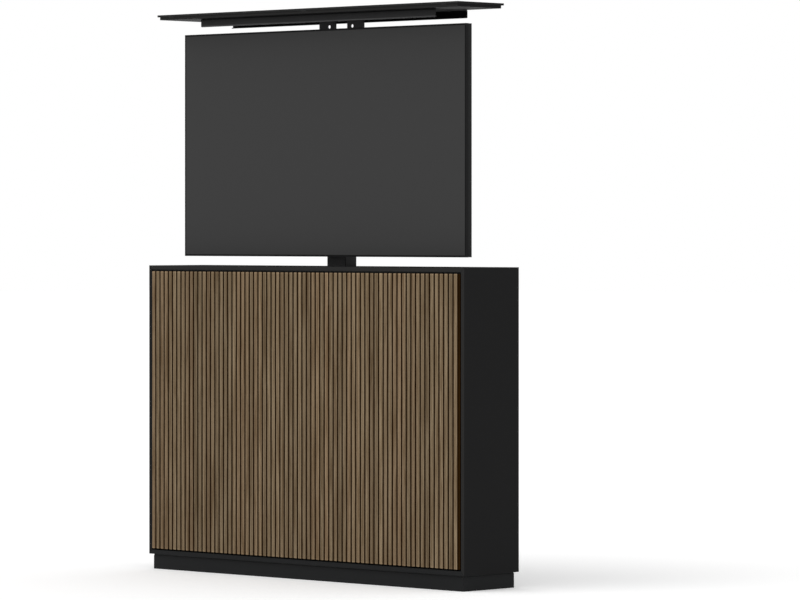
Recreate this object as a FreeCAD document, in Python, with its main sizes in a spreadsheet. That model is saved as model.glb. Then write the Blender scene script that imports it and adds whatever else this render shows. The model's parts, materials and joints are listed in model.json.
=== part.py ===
"""Television lift cabinet.

A shallow slatted cabinet with a three-stage lifting column inside.  The column
carries a flat television and a floating lid up through the top of the case.
Units are millimetres.  X runs to the right, Y to the back and Z up; the origin
is on the floor under the middle of the cabinet.  The model is drawn raised.
"""
import FreeCAD, Part
import os

import Sketcher

# Driving dimensions: name, size, what it measures.
SIZES = (
    ("case_width", 1624, "carcass, outside, left to right"),
    ("case_depth", 284, "carcass, front edge to back edge"),
    ("case_height", 1083, "carcass, without the plinth"),
    ("board", 16, "thickness of the carcass boards"),
    ("plinth_height", 56, "plinth, floor to underside of the carcass"),
    ("plinth_board", 18, "thickness of the plinth boards"),
    ("plinth_side_inset", 14, "plinth behind the side of the carcass"),
    ("plinth_front_inset", 11, "plinth behind the front edge"),
    ("plinth_back_inset", 10, "plinth ahead of the back edge"),
    ("plinth_joint_high", 4, "shadow joint along the top of the plinth"),
    ("plinth_joint_deep", 6, "shadow joint along the top of the plinth"),
    ("block_side", 40, "square glue block inside the plinth"),
    ("block_end_gap", 60, "last glue block to the plinth's side board"),
    ("back_board", 6, "thickness of the back panel"),
    ("back_inset", 12, "back panel ahead of the back edge"),
    ("groove_depth", 6, "how far the back panel enters the carcass boards"),
    ("groove_play", 0.2, "play of the back panel in its groove"),
    ("vent_length", 90, "slot in the back panel"),
    ("vent_width", 8, "slot in the back panel"),
    ("vent_spacing", 18, "slot to slot"),
    ("vent_count", 7, "slots in a row"),
    ("vent_edge", 120, "first slot to the inside of the case"),
    ("grommet_wide", 92, "cable outlet"),
    ("grommet_high", 40, "cable outlet"),
    ("grommet_radius", 8, "corners of the cable outlet"),
    ("grommet_wall", 3, "wall of the grommet"),
    ("grommet_rim", 7, "rim of the grommet outside its hole"),
    ("grommet_side", 430, "cable outlet, left of the middle"),
    ("grommet_height", 70, "cable outlet above the bottom board"),
    ("panel_board", 16, "thickness of the front panel"),
    ("panel_recess", 1, "front panel behind the case's front edge"),
    ("panel_side_gap", 5.5, "shadow gap beside the front panel"),
    ("panel_end_gap", 6, "shadow gap above and below the front panel"),
    ("cleat", 20, "square batten behind the front panel"),
    ("slat_width", 16.2, "face of a slat"),
    ("slat_spacing", 22.88, "slat to slat"),
    ("slat_proud", 5, "slats ahead of the case's front edge"),
    ("slat_margin", 0.5, "first slat inside the edge of the front panel"),
    ("slat_chamfer", 0.8, "broken edge of a slat"),
    ("lid_side_inset", 37.5, "lid inside the case's sides"),
    ("lid_front_inset", 7, "lid behind the case's front edge"),
    ("lid_back_inset", 37.5, "lid ahead of the case's back edge"),
    ("lid_top", 7.5, "upper layer of the lid"),
    ("lid_core", 10.8, "lower layer of the lid, which drops into the case"),
    ("lid_lip", 7, "upper layer outside the lower layer"),
    ("lid_play", 1.5, "play of the lower layer in the case's opening"),
    ("bumper_thick", 1.5, "felt bumper under the lip"),
    ("bumper_width", 4, "felt bumper"),
    ("bumper_length", 24, "felt bumper"),
    ("bumper_end_gap", 60, "end bumpers inside the lid's ends"),
    ("seat_gap", 0.2, "bumpers above the case when the lid is down"),
    ("tv_rise", 35.2, "raised television above the case's top"),
    ("head_drop", 306.7, "head plate below the case's top when lowered"),
    ("outer_wide", 107, "outer column"),
    ("outer_deep", 72, "outer column"),
    ("tube_wall", 3, "wall of the column tubes"),
    ("tube_radius", 4, "outer corner of the column tubes"),
    ("stage_gap", 3, "space between one tube and the next"),
    ("glide_play", 0.4, "play of the collars and feet"),
    ("collar_flange", 6, "collar on top of a tube"),
    ("collar_skirt", 24, "collar inside a tube"),
    ("top_step", 1.3, "tube above the collar of the tube outside it"),
    ("foot_floor", 9, "floor of a stage's foot"),
    ("foot_skirt", 18, "foot around a stage's tube"),
    ("nut_height", 28, "drive nut"),
    ("nut_flange", 5, "flange of a drive nut"),
    ("nut_flange_wide", 36, "square flange of a drive nut"),
    ("nut_barrel_wide", 29, "square barrel of a drive nut"),
    ("screw_radius", 7, "inner drive screw"),
    ("screw_play", 0.3, "between a screw and its nut"),
    ("hollow_bore_radius", 7.5, "bore of the hollow drive screw"),
    ("hollow_radius", 11, "outside of the hollow drive screw"),
    ("collar_radius", 14, "collars of the drive screws"),
    ("screw_bevel", 1, "broken end of the inner screw"),
    ("screw_collar", 6, "height of a drive screw's collar"),
    ("screw_engagement", 30, "inner screw left inside the hollow one"),
    ("screw_spare", 8, "hollow screw past its nut when raised"),
    ("bearing_height", 8, "thrust bearing"),
    ("bearing_radius", 20, "thrust bearing"),
    ("running_gap", 0.3, "between pieces that turn on each other"),
    ("stop_gap", 2, "below a stage's foot when lowered"),
    ("base_plate", 6, "thickness of the column's base plate"),
    ("base_wide", 260, "base plate"),
    ("base_deep", 112, "base plate"),
    ("base_edge", 14, "bolt to the base plate's edge"),
    ("gearbox_height", 54, "gearbox inside the outer column"),
    ("gearbox_wide", 88, "gearbox"),
    ("gearbox_deep", 56, "gearbox"),
    ("gearbox_radius", 5, "gearbox corners"),
    ("gearbox_boss", 9, "height of the round boss on the gearbox"),
    ("gearbox_boss_radius", 19, "round boss on the gearbox"),
    ("motor_rise", 31, "motor's axis above the base plate"),
    ("motor_radius", 28, "motor"),
    ("motor_length", 150, "motor body"),
    ("motor_neck_radius", 19, "motor's neck"),
    ("motor_neck", 20, "motor's neck from the gearbox"),
    ("motor_cap", 12, "motor's end cap"),
    ("motor_bevel", 4, "bevelled end of the motor's cap"),
    ("motor_notch_play", 3, "column's notch around the motor's neck"),
    ("rail_thick", 17, "rear rail"),
    ("rail_height", 80, "rear rail"),
    ("rail_drop", 60, "middle of the upper rail below the outer column's top"),
    ("rail_rise", 170, "middle of the lower rail above the base plate"),
    ("bracket_thick", 4, "column bracket"),
    ("bracket_wide", 230, "column bracket"),
    ("bracket_height", 60, "column bracket"),
    ("bracket_edge", 16, "bolt to the bracket's edge"),
    ("plate_corner", 6, "cut corners of the steel plates"),
    ("bolt_radius", 4, "shank of a bolt, middle to flat"),
    ("bolt_head_radius", 7.5, "head of a bolt, across its corners"),
    ("bolt_head", 5, "height of a bolt's head"),
    ("bolt_play", 0.3, "play of a bolt in its hole"),
    ("bolt_depth", 13, "bolt inside a board or boss"),
    ("head_plate", 6, "plate on top of the inner stage"),
    ("head_wide", 226, "head plate"),
    ("head_behind", 26, "head plate behind the column's middle"),
    ("spine_gap", 5, "spine plate ahead of the outer column"),
    ("spine_thick", 5, "plate that hangs in front of the column"),
    ("spine_wide", 120, "spine plate"),
    ("spine_below", 30, "spine plate below the lower crossbar's middle"),
    ("spine_bolt_spacing", 60, "bolts in each crossbar, side to side"),
    ("bar_deep", 10, "crossbar, front to back"),
    ("bar_high", 40, "crossbar"),
    ("bar_wall", 2, "wall of a crossbar"),
    ("bar_length", 480, "crossbar"),
    ("bar_spacing", 200, "crossbar to crossbar"),
    ("arm_deep", 18, "mounting arm, front to back"),
    ("arm_wide", 32, "mounting arm"),
    ("arm_length", 480, "mounting arm"),
    ("arm_sheet", 2, "sheet of a mounting arm"),
    ("hook_gap", 0.3, "mounting arm's hook around a crossbar"),
    ("vesa", 400, "square pattern of the television's mounting holes"),
    ("support_sheet", 3, "sheet of a lid support"),
    ("support_inner", 33, "lid support's near edge from the middle"),
    ("support_wide", 78, "lid support"),
    ("support_deep", 12, "lid support's flanges"),
    ("support_hole_radius", 6.25, "hole through a lid support"),
    ("support_hole_edge", 26, "hole's middle from the near edge"),
    ("support_hole_drop", 38, "hole's middle below the lid channel"),
    ("support_tab", 16, "foot and head tabs behind a lid support"),
    ("channel_length", 1208, "channel under the lid"),
    ("channel_high", 29.5, "channel under the lid"),
    ("channel_sheet", 3, "sheet of the lid channel"),
    ("channel_hem", 9, "returned edge of the lid channel"),
    ("channel_set_back", 64, "channel behind the lid's front edge"),
    ("channel_back_gap", 0.5, "channel ahead of the lid's lower layer's back"),
    ("tv_wide", 1450, "television"),
    ("tv_high", 830, "television"),
    ("tv_deep", 33, "television"),
    ("tv_gap", 25, "television below the lid channel"),
    ("bezel_deep", 14, "television's front frame"),
    ("bezel_wall", 3, "wall of the front frame"),
    ("bezel_ledge", 5, "ledge behind the glass"),
    ("bezel_ledge_thick", 2, "ledge behind the glass"),
    ("glass_thick", 3.2, "screen"),
    ("glass_recess", 0.6, "screen behind the frame's front"),
    ("glass_play", 0.3, "screen inside the frame"),
    ("cover_wall", 2.5, "wall of the television's back cover"),
    ("cover_inset", 0.5, "back cover inside the frame"),
    ("cover_chamfer", 3, "bevelled back edge of the cover"),
    ("boss_radius", 10, "mounting boss in the back cover"),
    ("boss_deep", 16, "mounting boss in the back cover"),
    ("cover_vent_length", 30, "slot in the television's back"),
    ("cover_vent_width", 4, "slot in the television's back"),
    ("cover_vent_spacing", 16, "slot to slot"),
    ("cover_vent_count", 27, "slots in a row"),
    ("cover_vent_drop", 40, "row of slots below the television's top"),
    ("control_wide", 180, "control box"),
    ("control_deep", 96, "control box"),
    ("control_high", 38, "control box"),
    ("control_side", 330, "control box right of the middle"),
    ("control_behind", 12, "control box ahead of the lower rail"),
    ("control_radius", 6, "control box corners"),
    ("control_bevel", 2, "bevelled top edges of the control box"),
    ("inlet_wide", 27, "mains inlet"),
    ("inlet_high", 20, "mains inlet"),
    ("inlet_deep", 14, "mains inlet"),
    ("inlet_wall", 2.5, "mains inlet"),
    ("inlet_proud", 1.5, "mains inlet outside the control box"),
    ("inlet_blade_wide", 2, "blade of the mains inlet"),
    ("inlet_blade_high", 4, "blade of the mains inlet"),
    ("inlet_blade_side", 6, "outer blades from the middle"),
    ("inlet_blade_rise", 3, "middle blade above the middle"),
)

# Places worked out from the sizes: name, formula.
PLACES = (
    ("half_width", "sizes.case_width / 2"),
    ("front_y", "-(sizes.case_depth - sizes.slat_proud) / 2"),
    ("back_y", "front_y + sizes.case_depth"),
    ("case_low", "sizes.plinth_height"),
    ("case_top", "case_low + sizes.case_height"),
    ("inner_half", "half_width - sizes.board"),
    ("floor_z", "case_low + sizes.board"),
    ("ceiling_z", "case_top - sizes.board"),
    ("groove_front_y", "back_y - sizes.back_inset - sizes.back_board"),
    ("rail_y", "groove_front_y - sizes.rail_thick"),
    ("bracket_y", "rail_y - sizes.bracket_thick"),
    ("column_y", "bracket_y - sizes.outer_deep / 2"),
    ("stage_step", "2 * (sizes.tube_wall + sizes.stage_gap)"),
    ("middle_wide", "sizes.outer_wide - stage_step"),
    ("middle_deep", "sizes.outer_deep - stage_step"),
    ("inner_wide", "middle_wide - stage_step"),
    ("inner_deep", "middle_deep - stage_step"),
    ("base_top", "floor_z + sizes.base_plate"),
    ("gear_top", "base_top + sizes.gearbox_height"),
    ("screw_low", "gear_top + sizes.running_gap"),
    ("middle_foot_low", "screw_low + sizes.screw_collar + sizes.stop_gap"),
    ("middle_low", "middle_foot_low + sizes.foot_floor"),
    ("bearing_low", "middle_foot_low + sizes.nut_height"),
    ("hollow_low", "bearing_low + sizes.bearing_height + sizes.running_gap"),
    ("inner_foot_low", "hollow_low + sizes.screw_collar + sizes.stop_gap"),
    ("inner_low", "inner_foot_low + sizes.foot_floor"),
    ("head_low", "case_top - sizes.head_drop"),
    ("middle_top", "head_low - sizes.collar_flange - sizes.top_step"),
    ("outer_top", "middle_top - sizes.collar_flange - sizes.top_step"),
    ("lip_low", "case_top + sizes.bumper_thick + sizes.seat_gap"),
    ("lid_half", "half_width - sizes.lid_side_inset"),
    ("lid_front_y", "front_y + sizes.lid_front_inset"),
    ("lid_back_y", "back_y - sizes.lid_back_inset"),
    ("core_half", "lid_half - sizes.lid_lip"),
    ("core_front_y", "lid_front_y + sizes.lid_lip"),
    ("core_back_y", "lid_back_y - sizes.lid_lip"),
    ("channel_top", "lip_low - sizes.lid_core"),
    ("channel_low", "channel_top - sizes.channel_high"),
    ("channel_front_y", "lid_front_y + sizes.channel_set_back"),
    ("channel_back_y", "core_back_y - sizes.channel_back_gap"),
    ("tv_top", "channel_low - sizes.tv_gap"),
    ("tv_middle", "tv_top - sizes.tv_high / 2"),
    ("full_travel", "case_top + sizes.tv_rise - (tv_top - sizes.tv_high)"),
    ("stage_travel", "full_travel / 2"),
    ("spine_y", "column_y - sizes.outer_deep / 2 - sizes.spine_gap - sizes.spine_thick"),
    ("bar_y", "spine_y - sizes.bar_deep"),
    ("tv_back_y", "bar_y - sizes.arm_deep"),
    ("tv_front_y", "tv_back_y - sizes.tv_deep"),
    ("slats_per_group",
     "floor((2 * (inner_half - sizes.panel_side_gap) - sizes.slat_margin) / 3 / sizes.slat_spacing)"),
    ("upper_rail_z", "outer_top - sizes.rail_drop"),
    ("lower_rail_z", "base_top + sizes.rail_rise"),
)

doc = FreeCAD.newDocument("tv_lift_cabinet")
sizes = doc.addObject("Spreadsheet::Sheet", "sizes")
for row, (name, size, note) in enumerate(SIZES, start=1):
    sizes.set("A%d" % row, name)
    sizes.set("B%d" % row, str(size))
    sizes.set("C%d" % row, note)
    sizes.setAlias("B%d" % row, name)
doc.recompute()

places = doc.addObject("App::VarSet", "places")
for name, formula in PLACES:
    places.addProperty("App::PropertyFloat", name)
    places.setExpression(name, formula)
doc.recompute()

sub_parts = []


def number(formula):
    """The present value of a formula."""
    return float(places.evalExpression(formula))


# ---------------------------------------------------------------- tools

def new_body(label, x="0", y="0", z="0", separate=False):
    """A body placed at x, y, z; its sketches are drawn from that point."""
    body = doc.addObject("PartDesign::Body", "body_" + label)
    body.Label = label
    body.AllowCompound = separate
    for axis, formula in (("x", x), ("y", y), ("z", z)):
        body.setExpression("Placement.Base." + axis, formula)
    sub_parts.append(body)
    return body


def origin_feature(body, role):
    """One of the body's own origin planes or axes."""
    return [item for item in body.Origin.OriginFeatures if item.Role == role][0]


def rectangle(x0, y0, x1, y1):
    """Corner formulas of a rectangle."""
    return [(x0, y0), (x1, y0), (x1, y1), (x0, y1)]


def centred(width, height):
    """Corner formulas of a rectangle about the sketch's origin."""
    half_w = "(%s) / 2" % width
    half_h = "(%s) / 2" % height
    return rectangle("-" + half_w, "-" + half_h, half_w, half_h)


def tie(sketch, kind, line, formula):
    """Hold a line's start, or a circle's centre, at a distance from the origin."""
    point = 3 if isinstance(sketch.Geometry[line], Part.Circle) else 1
    constraint = Sketcher.Constraint(kind, -1, 1, line, point, number(formula))
    index = sketch.addConstraint(constraint)
    sketch.setExpression("Constraints[%d]" % index, formula)


def draw_loop(sketch, points):
    """A closed loop of straight lines through the given corners."""
    first = sketch.GeometryCount
    corners = [FreeCAD.Vector(number(x), number(y), 0) for x, y in points]
    for start, end in zip(corners, corners[1:] + corners[:1]):
        sketch.addGeometry(Part.LineSegment(start, end), False)
    for step, (x, y) in enumerate(points):
        line = first + step
        following = first + (step + 1) % len(points)
        sketch.addConstraint(Sketcher.Constraint("Coincident", line, 2, following, 1))
        tie(sketch, "DistanceX", line, x)
        tie(sketch, "DistanceY", line, y)


def draw_circle(sketch, x, y, radius):
    """A circle about x, y."""
    centre = FreeCAD.Vector(number(x), number(y), 0)
    circle = Part.Circle(centre, FreeCAD.Vector(0, 0, 1), number(radius))
    line = sketch.addGeometry(circle, False)
    tie(sketch, "DistanceX", line, x)
    tie(sketch, "DistanceY", line, y)
    index = sketch.addConstraint(Sketcher.Constraint("Radius", line, number(radius)))
    sketch.setExpression("Constraints[%d]" % index, radius)


def new_sketch(body, plane, height, shapes):
    """A sketch on an origin plane, moved along that plane's axis to height.

    A shape is a list of corners, or a circle as (x, y, radius).
    """
    sketch = body.newObject("Sketcher::SketchObject", "sketch")
    sketch.AttachmentSupport = (origin_feature(body, plane + "_Plane"), "")
    sketch.MapMode = "FlatFace"
    along = "-(%s)" % height if plane == "XZ" else height
    sketch.setExpression("AttachmentOffset.Base.z", along)
    for shape in shapes:
        if isinstance(shape, tuple):
            draw_circle(sketch, *shape)
        else:
            draw_loop(sketch, shape)
    return sketch


def pad(body, plane, low, high, *shapes):
    """Add material between two heights along the plane's axis."""
    feature = body.newObject("PartDesign::Pad", "pad")
    feature.Profile = new_sketch(body, plane, low, shapes)
    feature.Reversed = plane == "XZ"
    feature.setExpression("Length", "(%s) - (%s)" % (high, low))
    body.Tip = feature
    doc.recompute()
    return feature


def pocket(body, plane, low, high, *shapes):
    """Take material away between two heights along the plane's axis."""
    before = body.Shape.Volume
    feature = body.newObject("PartDesign::Pocket", "pocket")
    feature.Profile = new_sketch(body, plane, low, shapes)
    feature.Reversed = plane != "XZ"
    feature.setExpression("Length", "(%s) - (%s)" % (high, low))
    body.Tip = feature
    doc.recompute()
    if feature.Shape.Volume >= before:
        raise RuntimeError("%s: a pocket cuts nothing" % body.Label)
    return feature


def turn(body, plane, axis, points):
    """Add the solid that a profile sweeps about one of the body's axes."""
    feature = body.newObject("PartDesign::Revolution", "turned")
    feature.Profile = new_sketch(body, plane, "0", [points])
    feature.ReferenceAxis = (origin_feature(body, axis + "_Axis"), [""])
    feature.Angle = 360
    body.Tip = feature
    doc.recompute()
    return feature


def repeat(body, features, axis, spacing, count, backwards=False):
    """Copies of features in a row along one of the body's axes."""
    feature = body.newObject("PartDesign::LinearPattern", "row")
    feature.Originals = features
    feature.Direction = (origin_feature(body, axis + "_Axis"), [""])
    feature.Reversed = backwards
    feature.Mode = "Spacing"
    feature.setExpression("Offset", spacing)
    feature.setExpression("Occurrences", count)
    body.Tip = feature
    doc.recompute()
    return feature


def grid(body, features, *rows):
    """Copies of features in a grid: each row is an axis, a spacing and a count."""
    copies = body.newObject("PartDesign::MultiTransform", "grid")
    copies.Originals = features
    steps = []
    for axis, spacing, count in rows:
        step = body.newObject("PartDesign::LinearPattern", "row")
        step.Direction = (origin_feature(body, axis + "_Axis"), [""])
        step.Mode = "Spacing"
        step.setExpression("Offset", spacing)
        step.setExpression("Occurrences", count)
        steps.append(step)
    copies.Transformations = steps
    body.Tip = copies
    doc.recompute()
    return copies


def long_edges(shape, direction, keep):
    """Names of the straight edges along a direction whose middle is kept."""
    names = []
    for index, edge in enumerate(shape.Edges, start=1):
        if edge.Curve.TypeId != "Part::GeomLine":
            continue
        along = edge.Curve.Direction
        middle = edge.CenterOfMass
        if abs(abs(along.dot(direction)) - 1) < PARALLEL and keep(middle):
            names.append("Edge%d" % index)
    return names


def dress(body, kind, size_name, formula, direction, keep=lambda middle: True):
    """Round or bevel the edges that run along a direction."""
    base = body.Tip
    feature = body.newObject("PartDesign::" + kind, kind.lower())
    feature.Base = (base, long_edges(base.Shape, direction, keep))
    feature.setExpression(size_name, formula)
    body.Tip = feature
    doc.recompute()
    return feature


# An edge lies on a plane, or along a direction, if it is off by less than these.
NEAR = 0.001
PARALLEL = 1e-6

ALONG_X = FreeCAD.Vector(1, 0, 0)
ALONG_Y = FreeCAD.Vector(0, 1, 0)
ALONG_Z = FreeCAD.Vector(0, 0, 1)


# ---------------------------------------------------------------- carcass

def cut_back_groove(body):
    """The groove that the back panel stands in, the same in all four boards."""
    half = "places.inner_half + sizes.groove_depth + sizes.groove_play"
    reach = "(sizes.groove_depth + sizes.groove_play)"
    outline = rectangle("-(%s)" % half, "places.floor_z - " + reach,
                        half, "places.ceiling_z + " + reach)
    pocket(body, "XZ", "places.groove_front_y - places.front_y - sizes.groove_play",
           "places.groove_front_y - places.front_y + sizes.back_board + sizes.groove_play",
           outline)


def side_board(label, side):
    """An upright side with mitred ends; side is -1 on the left and 1 on the right."""
    outside = "%d * places.half_width" % side
    inside = "%d * places.inner_half" % side
    body = new_body(label, y="places.front_y")
    pad(body, "XZ", "0", "sizes.case_depth",
        [(outside, "places.case_low"), (inside, "places.floor_z"),
         (inside, "places.ceiling_z"), (outside, "places.case_top")])
    cut_back_groove(body)


def bottom_board():
    """The mitred bottom, drilled for the base plate's bolts."""
    body = new_body("bottom_board", y="places.front_y")
    pad(body, "XZ", "0", "sizes.case_depth",
        [("-places.half_width", "places.case_low"), ("places.half_width", "places.case_low"),
         ("places.inner_half", "places.floor_z"), ("-places.inner_half", "places.floor_z")])
    cut_back_groove(body)
    column = "places.column_y - places.front_y"
    holes = [bolt_hole(x, "%s %s" % (column, y)) for x, y in base_bolt_places()]
    pocket(body, "XY", "places.floor_z - sizes.bolt_depth", "places.floor_z", *holes)


def top_board():
    """The mitred top, open for the lid, the television and the column."""
    body = new_body("top_board", y="places.front_y")
    pad(body, "XZ", "0", "sizes.case_depth",
        [("-places.half_width", "places.case_top"), ("-places.inner_half", "places.ceiling_z"),
         ("places.inner_half", "places.ceiling_z"), ("places.half_width", "places.case_top")])
    cut_back_groove(body)
    half = "(places.core_half + sizes.lid_play)"
    pocket(body, "XY", "places.ceiling_z", "places.case_top",
           rectangle("-" + half, "places.core_front_y - sizes.lid_play - places.front_y",
                     half, "places.core_back_y + sizes.lid_play - places.front_y"))


def back_panel():
    """A thin panel in the carcass grooves, with two rows of vents and a cable hole."""
    body = new_body("back_panel", y="places.groove_front_y")
    half = "(places.inner_half + sizes.groove_depth)"
    pad(body, "XZ", "0", "sizes.back_board",
        rectangle("-" + half, "places.floor_z - sizes.groove_depth",
                  half, "places.ceiling_z + sizes.groove_depth"))
    wide = "(sizes.grommet_wide / 2 + sizes.grommet_wall)"
    high = "(sizes.grommet_high / 2 + sizes.grommet_wall)"
    middle = "places.floor_z + sizes.grommet_height"
    pocket(body, "XZ", "0", "sizes.back_board",
           rectangle("-sizes.grommet_side - " + wide, "%s - %s" % (middle, high),
                     "-sizes.grommet_side + " + wide, "%s + %s" % (middle, high)))
    right = "(places.inner_half - sizes.vent_edge)"
    top = "(places.ceiling_z - sizes.vent_edge)"
    vents = []
    for left, far in (("-" + right, "-%s + sizes.vent_length" % right),
                      (right + " - sizes.vent_length", right)):
        vents.append(pocket(body, "XZ", "0", "sizes.back_board",
                            rectangle(left, top + " - sizes.vent_width", far, top)))
    repeat(body, vents, "Z", "sizes.vent_spacing", "sizes.vent_count", backwards=True)


def cable_grommet():
    """A flanged oblong frame in the back panel's cable hole."""
    body = new_body("cable_grommet", "-sizes.grommet_side", "places.groove_front_y",
                    "places.floor_z + sizes.grommet_height")
    neck = " + 2 * (sizes.grommet_wall - sizes.groove_play)"
    rim = " + 2 * (sizes.grommet_wall + sizes.grommet_rim)"
    outside = "sizes.back_board + sizes.grommet_wall"
    pad(body, "XZ", "0", "sizes.back_board",
        centred("sizes.grommet_wide" + neck, "sizes.grommet_high" + neck))
    pad(body, "XZ", "sizes.back_board", outside,
        centred("sizes.grommet_wide" + rim, "sizes.grommet_high" + rim))
    rim_middle = number("sizes.back_board")
    dress(body, "Fillet", "Radius", "sizes.grommet_radius", ALONG_Y,
          lambda middle: middle.y > rim_middle)
    pocket(body, "XZ", "0", outside, centred("sizes.grommet_wide", "sizes.grommet_high"))
    half = number("sizes.grommet_wide / 2")
    dress(body, "Fillet", "Radius", "sizes.grommet_radius", ALONG_Y,
          lambda middle: abs(abs(middle.x) - half) < NEAR)


def plinth():
    """Four recessed boards, rebated on top for a shadow joint, and their glue blocks."""
    half = "(places.half_width - sizes.plinth_side_inset)"
    front = "places.front_y + sizes.plinth_front_inset"
    depth = "(sizes.case_depth - sizes.plinth_front_inset - sizes.plinth_back_inset)"
    board = "sizes.plinth_board"
    height = "sizes.plinth_height"
    joint = "sizes.plinth_joint_deep"
    joint_low = "sizes.plinth_height - sizes.plinth_joint_high"
    inner_board = "%s - %s" % (board, joint)
    for label, start, near, far in (
            ("plinth_front", front, joint, board),
            ("plinth_back", "%s + %s - %s" % (front, depth, board), "0", inner_board)):
        body = new_body(label, y=start)
        pad(body, "XY", "0", joint_low, rectangle("-" + half, "0", half, board))
        pad(body, "XY", joint_low, height,
            rectangle("%s - %s" % (joint, half), near, "%s - %s" % (half, joint), far))
    for label, start, near, far in (
            ("plinth_left", "-" + half, joint, board),
            ("plinth_right", "%s - %s" % (half, board), "0", inner_board)):
        body = new_body(label, start, "%s + %s" % (front, board))
        length = "%s - 2 * %s" % (depth, board)
        pad(body, "XY", "0", joint_low, rectangle("0", "0", board, length))
        pad(body, "XY", joint_low, height, rectangle(near, "0", far, length))
    blocks = new_body("plinth_blocks", "-%s + %s + sizes.block_end_gap" % (half, board),
                      "%s + %s" % (front, board), separate=True)
    block = pad(blocks, "XY", "0", height,
                rectangle("0", "0", "sizes.block_side", "sizes.block_side"))
    across = "%s - 2 * %s - sizes.block_side" % (depth, board)
    along = "%s - %s - sizes.block_end_gap - sizes.block_side / 2" % (half, board)
    pair = pad(blocks, "XY", "0", height,
               rectangle("0", across, "sizes.block_side", across + " + sizes.block_side"))
    repeat(blocks, [block, pair], "X", along, "3")


def front_panel():
    """The inset front and the battens that hold it."""
    half = "(places.inner_half - sizes.panel_side_gap)"
    start = "places.front_y + sizes.panel_recess"
    body = new_body("front_panel", y=start)
    pad(body, "XZ", "0", "sizes.panel_board",
        rectangle("-" + half, "places.floor_z + sizes.panel_end_gap",
                  half, "places.ceiling_z - sizes.panel_end_gap"))
    cleats = new_body("front_cleats", y=start + " + sizes.panel_board", separate=True)
    inside = "(places.inner_half - sizes.cleat)"
    for left, right in (("-places.inner_half", "-" + inside), (inside, "places.inner_half")):
        pad(cleats, "XZ", "0", "sizes.cleat",
            rectangle(left, "places.floor_z", right, "places.ceiling_z"))
    pad(cleats, "XZ", "0", "sizes.cleat",
        rectangle("-%s + sizes.cleat" % inside, "places.floor_z",
                  inside + " - sizes.cleat", "places.floor_z + sizes.cleat"))


def slat_group(label, group):
    """A third of the slats, each with its long front edges broken."""
    first = "-(places.inner_half - sizes.panel_side_gap) + sizes.slat_margin"
    skipped = "%d * places.slats_per_group * sizes.slat_spacing" % group
    body = new_body(label, "%s + %s" % (first, skipped), "places.front_y",
                    "places.floor_z + sizes.panel_end_gap", separate=True)
    height = "places.ceiling_z - places.floor_z - 2 * sizes.panel_end_gap"
    edge = "sizes.slat_chamfer"
    slat = pad(body, "XY", "0", height,
               [("0", "sizes.panel_recess"), ("0", "%s - sizes.slat_proud" % edge),
                (edge, "-sizes.slat_proud"), ("sizes.slat_width - " + edge, "-sizes.slat_proud"),
                ("sizes.slat_width", "%s - sizes.slat_proud" % edge),
                ("sizes.slat_width", "sizes.panel_recess")])
    repeat(body, [slat], "X", "sizes.slat_spacing", "places.slats_per_group")


def rear_rail(label, middle):
    """A rail across the back that the column is bolted to."""
    body = new_body(label, y="places.rail_y", z=middle)
    pad(body, "XZ", "0", "sizes.rail_thick", centred("2 * places.inner_half", "sizes.rail_height"))
    holes = [bolt_hole(x, z) for x, z in bracket_bolt_places()]
    pocket(body, "XZ", "0", "sizes.bolt_depth", *holes)


# ---------------------------------------------------------------- column

def base_bolt_places():
    """Signed offsets of the base plate's four bolts from the column."""
    x = "(sizes.base_wide / 2 - sizes.base_edge)"
    y = "(sizes.base_deep / 2 - sizes.base_edge)"
    return [(sign_x + x, sign_y + y) for sign_x in ("-", "") for sign_y in ("- ", "+ ")]


def bracket_bolt_places():
    """Offsets of a bracket's four bolts from its middle."""
    x = "(sizes.bracket_wide / 2 - sizes.bracket_edge)"
    z = "(sizes.bracket_height / 2 - sizes.bracket_edge)"
    return [(sign_x + x, sign_z + z) for sign_x in ("-", "") for sign_z in ("-", "")]


def hexagon(radius):
    """Corner formulas of a hexagon about the sketch's origin."""
    flat = "%s * sin(60 deg)" % radius
    return [(radius, "0"), (radius + " / 2", flat), ("-%s / 2" % radius, flat),
            ("-" + radius, "0"), ("-%s / 2" % radius, "-" + flat), (radius + " / 2", "-" + flat)]


def octagon(x, y, flat):
    """Corner formulas of an octagon about x, y, whose flats lie that far from its middle."""
    corner = "%s * tan(22.5 deg)" % flat
    offsets = [(flat, "-" + corner), (flat, corner), (corner, flat), ("-" + corner, flat),
               ("-" + flat, corner), ("-" + flat, "-" + corner),
               ("-" + corner, "-" + flat), (corner, "-" + flat)]
    return [("(%s) + (%s)" % (x, right), "(%s) + (%s)" % (y, up)) for right, up in offsets]


def bolt_hole(x, y):
    """A hole about x, y that a bolt passes with play; it is eight-sided, like the shank."""
    return octagon(x, y, "(sizes.bolt_radius + sizes.bolt_play)")


def bolt(body, plane, grip, forward=True):
    """A bolt from under its head at zero; it points along the plane's axis if forward."""
    head = hexagon("sizes.bolt_head_radius")
    shank = octagon("0", "0", "sizes.bolt_radius")
    if forward:
        return [pad(body, plane, "-sizes.bolt_head", "0", head), pad(body, plane, "0", grip, shank)]
    return [pad(body, plane, "0", "sizes.bolt_head", head),
            pad(body, plane, "-(%s)" % grip, "0", shank)]


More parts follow.
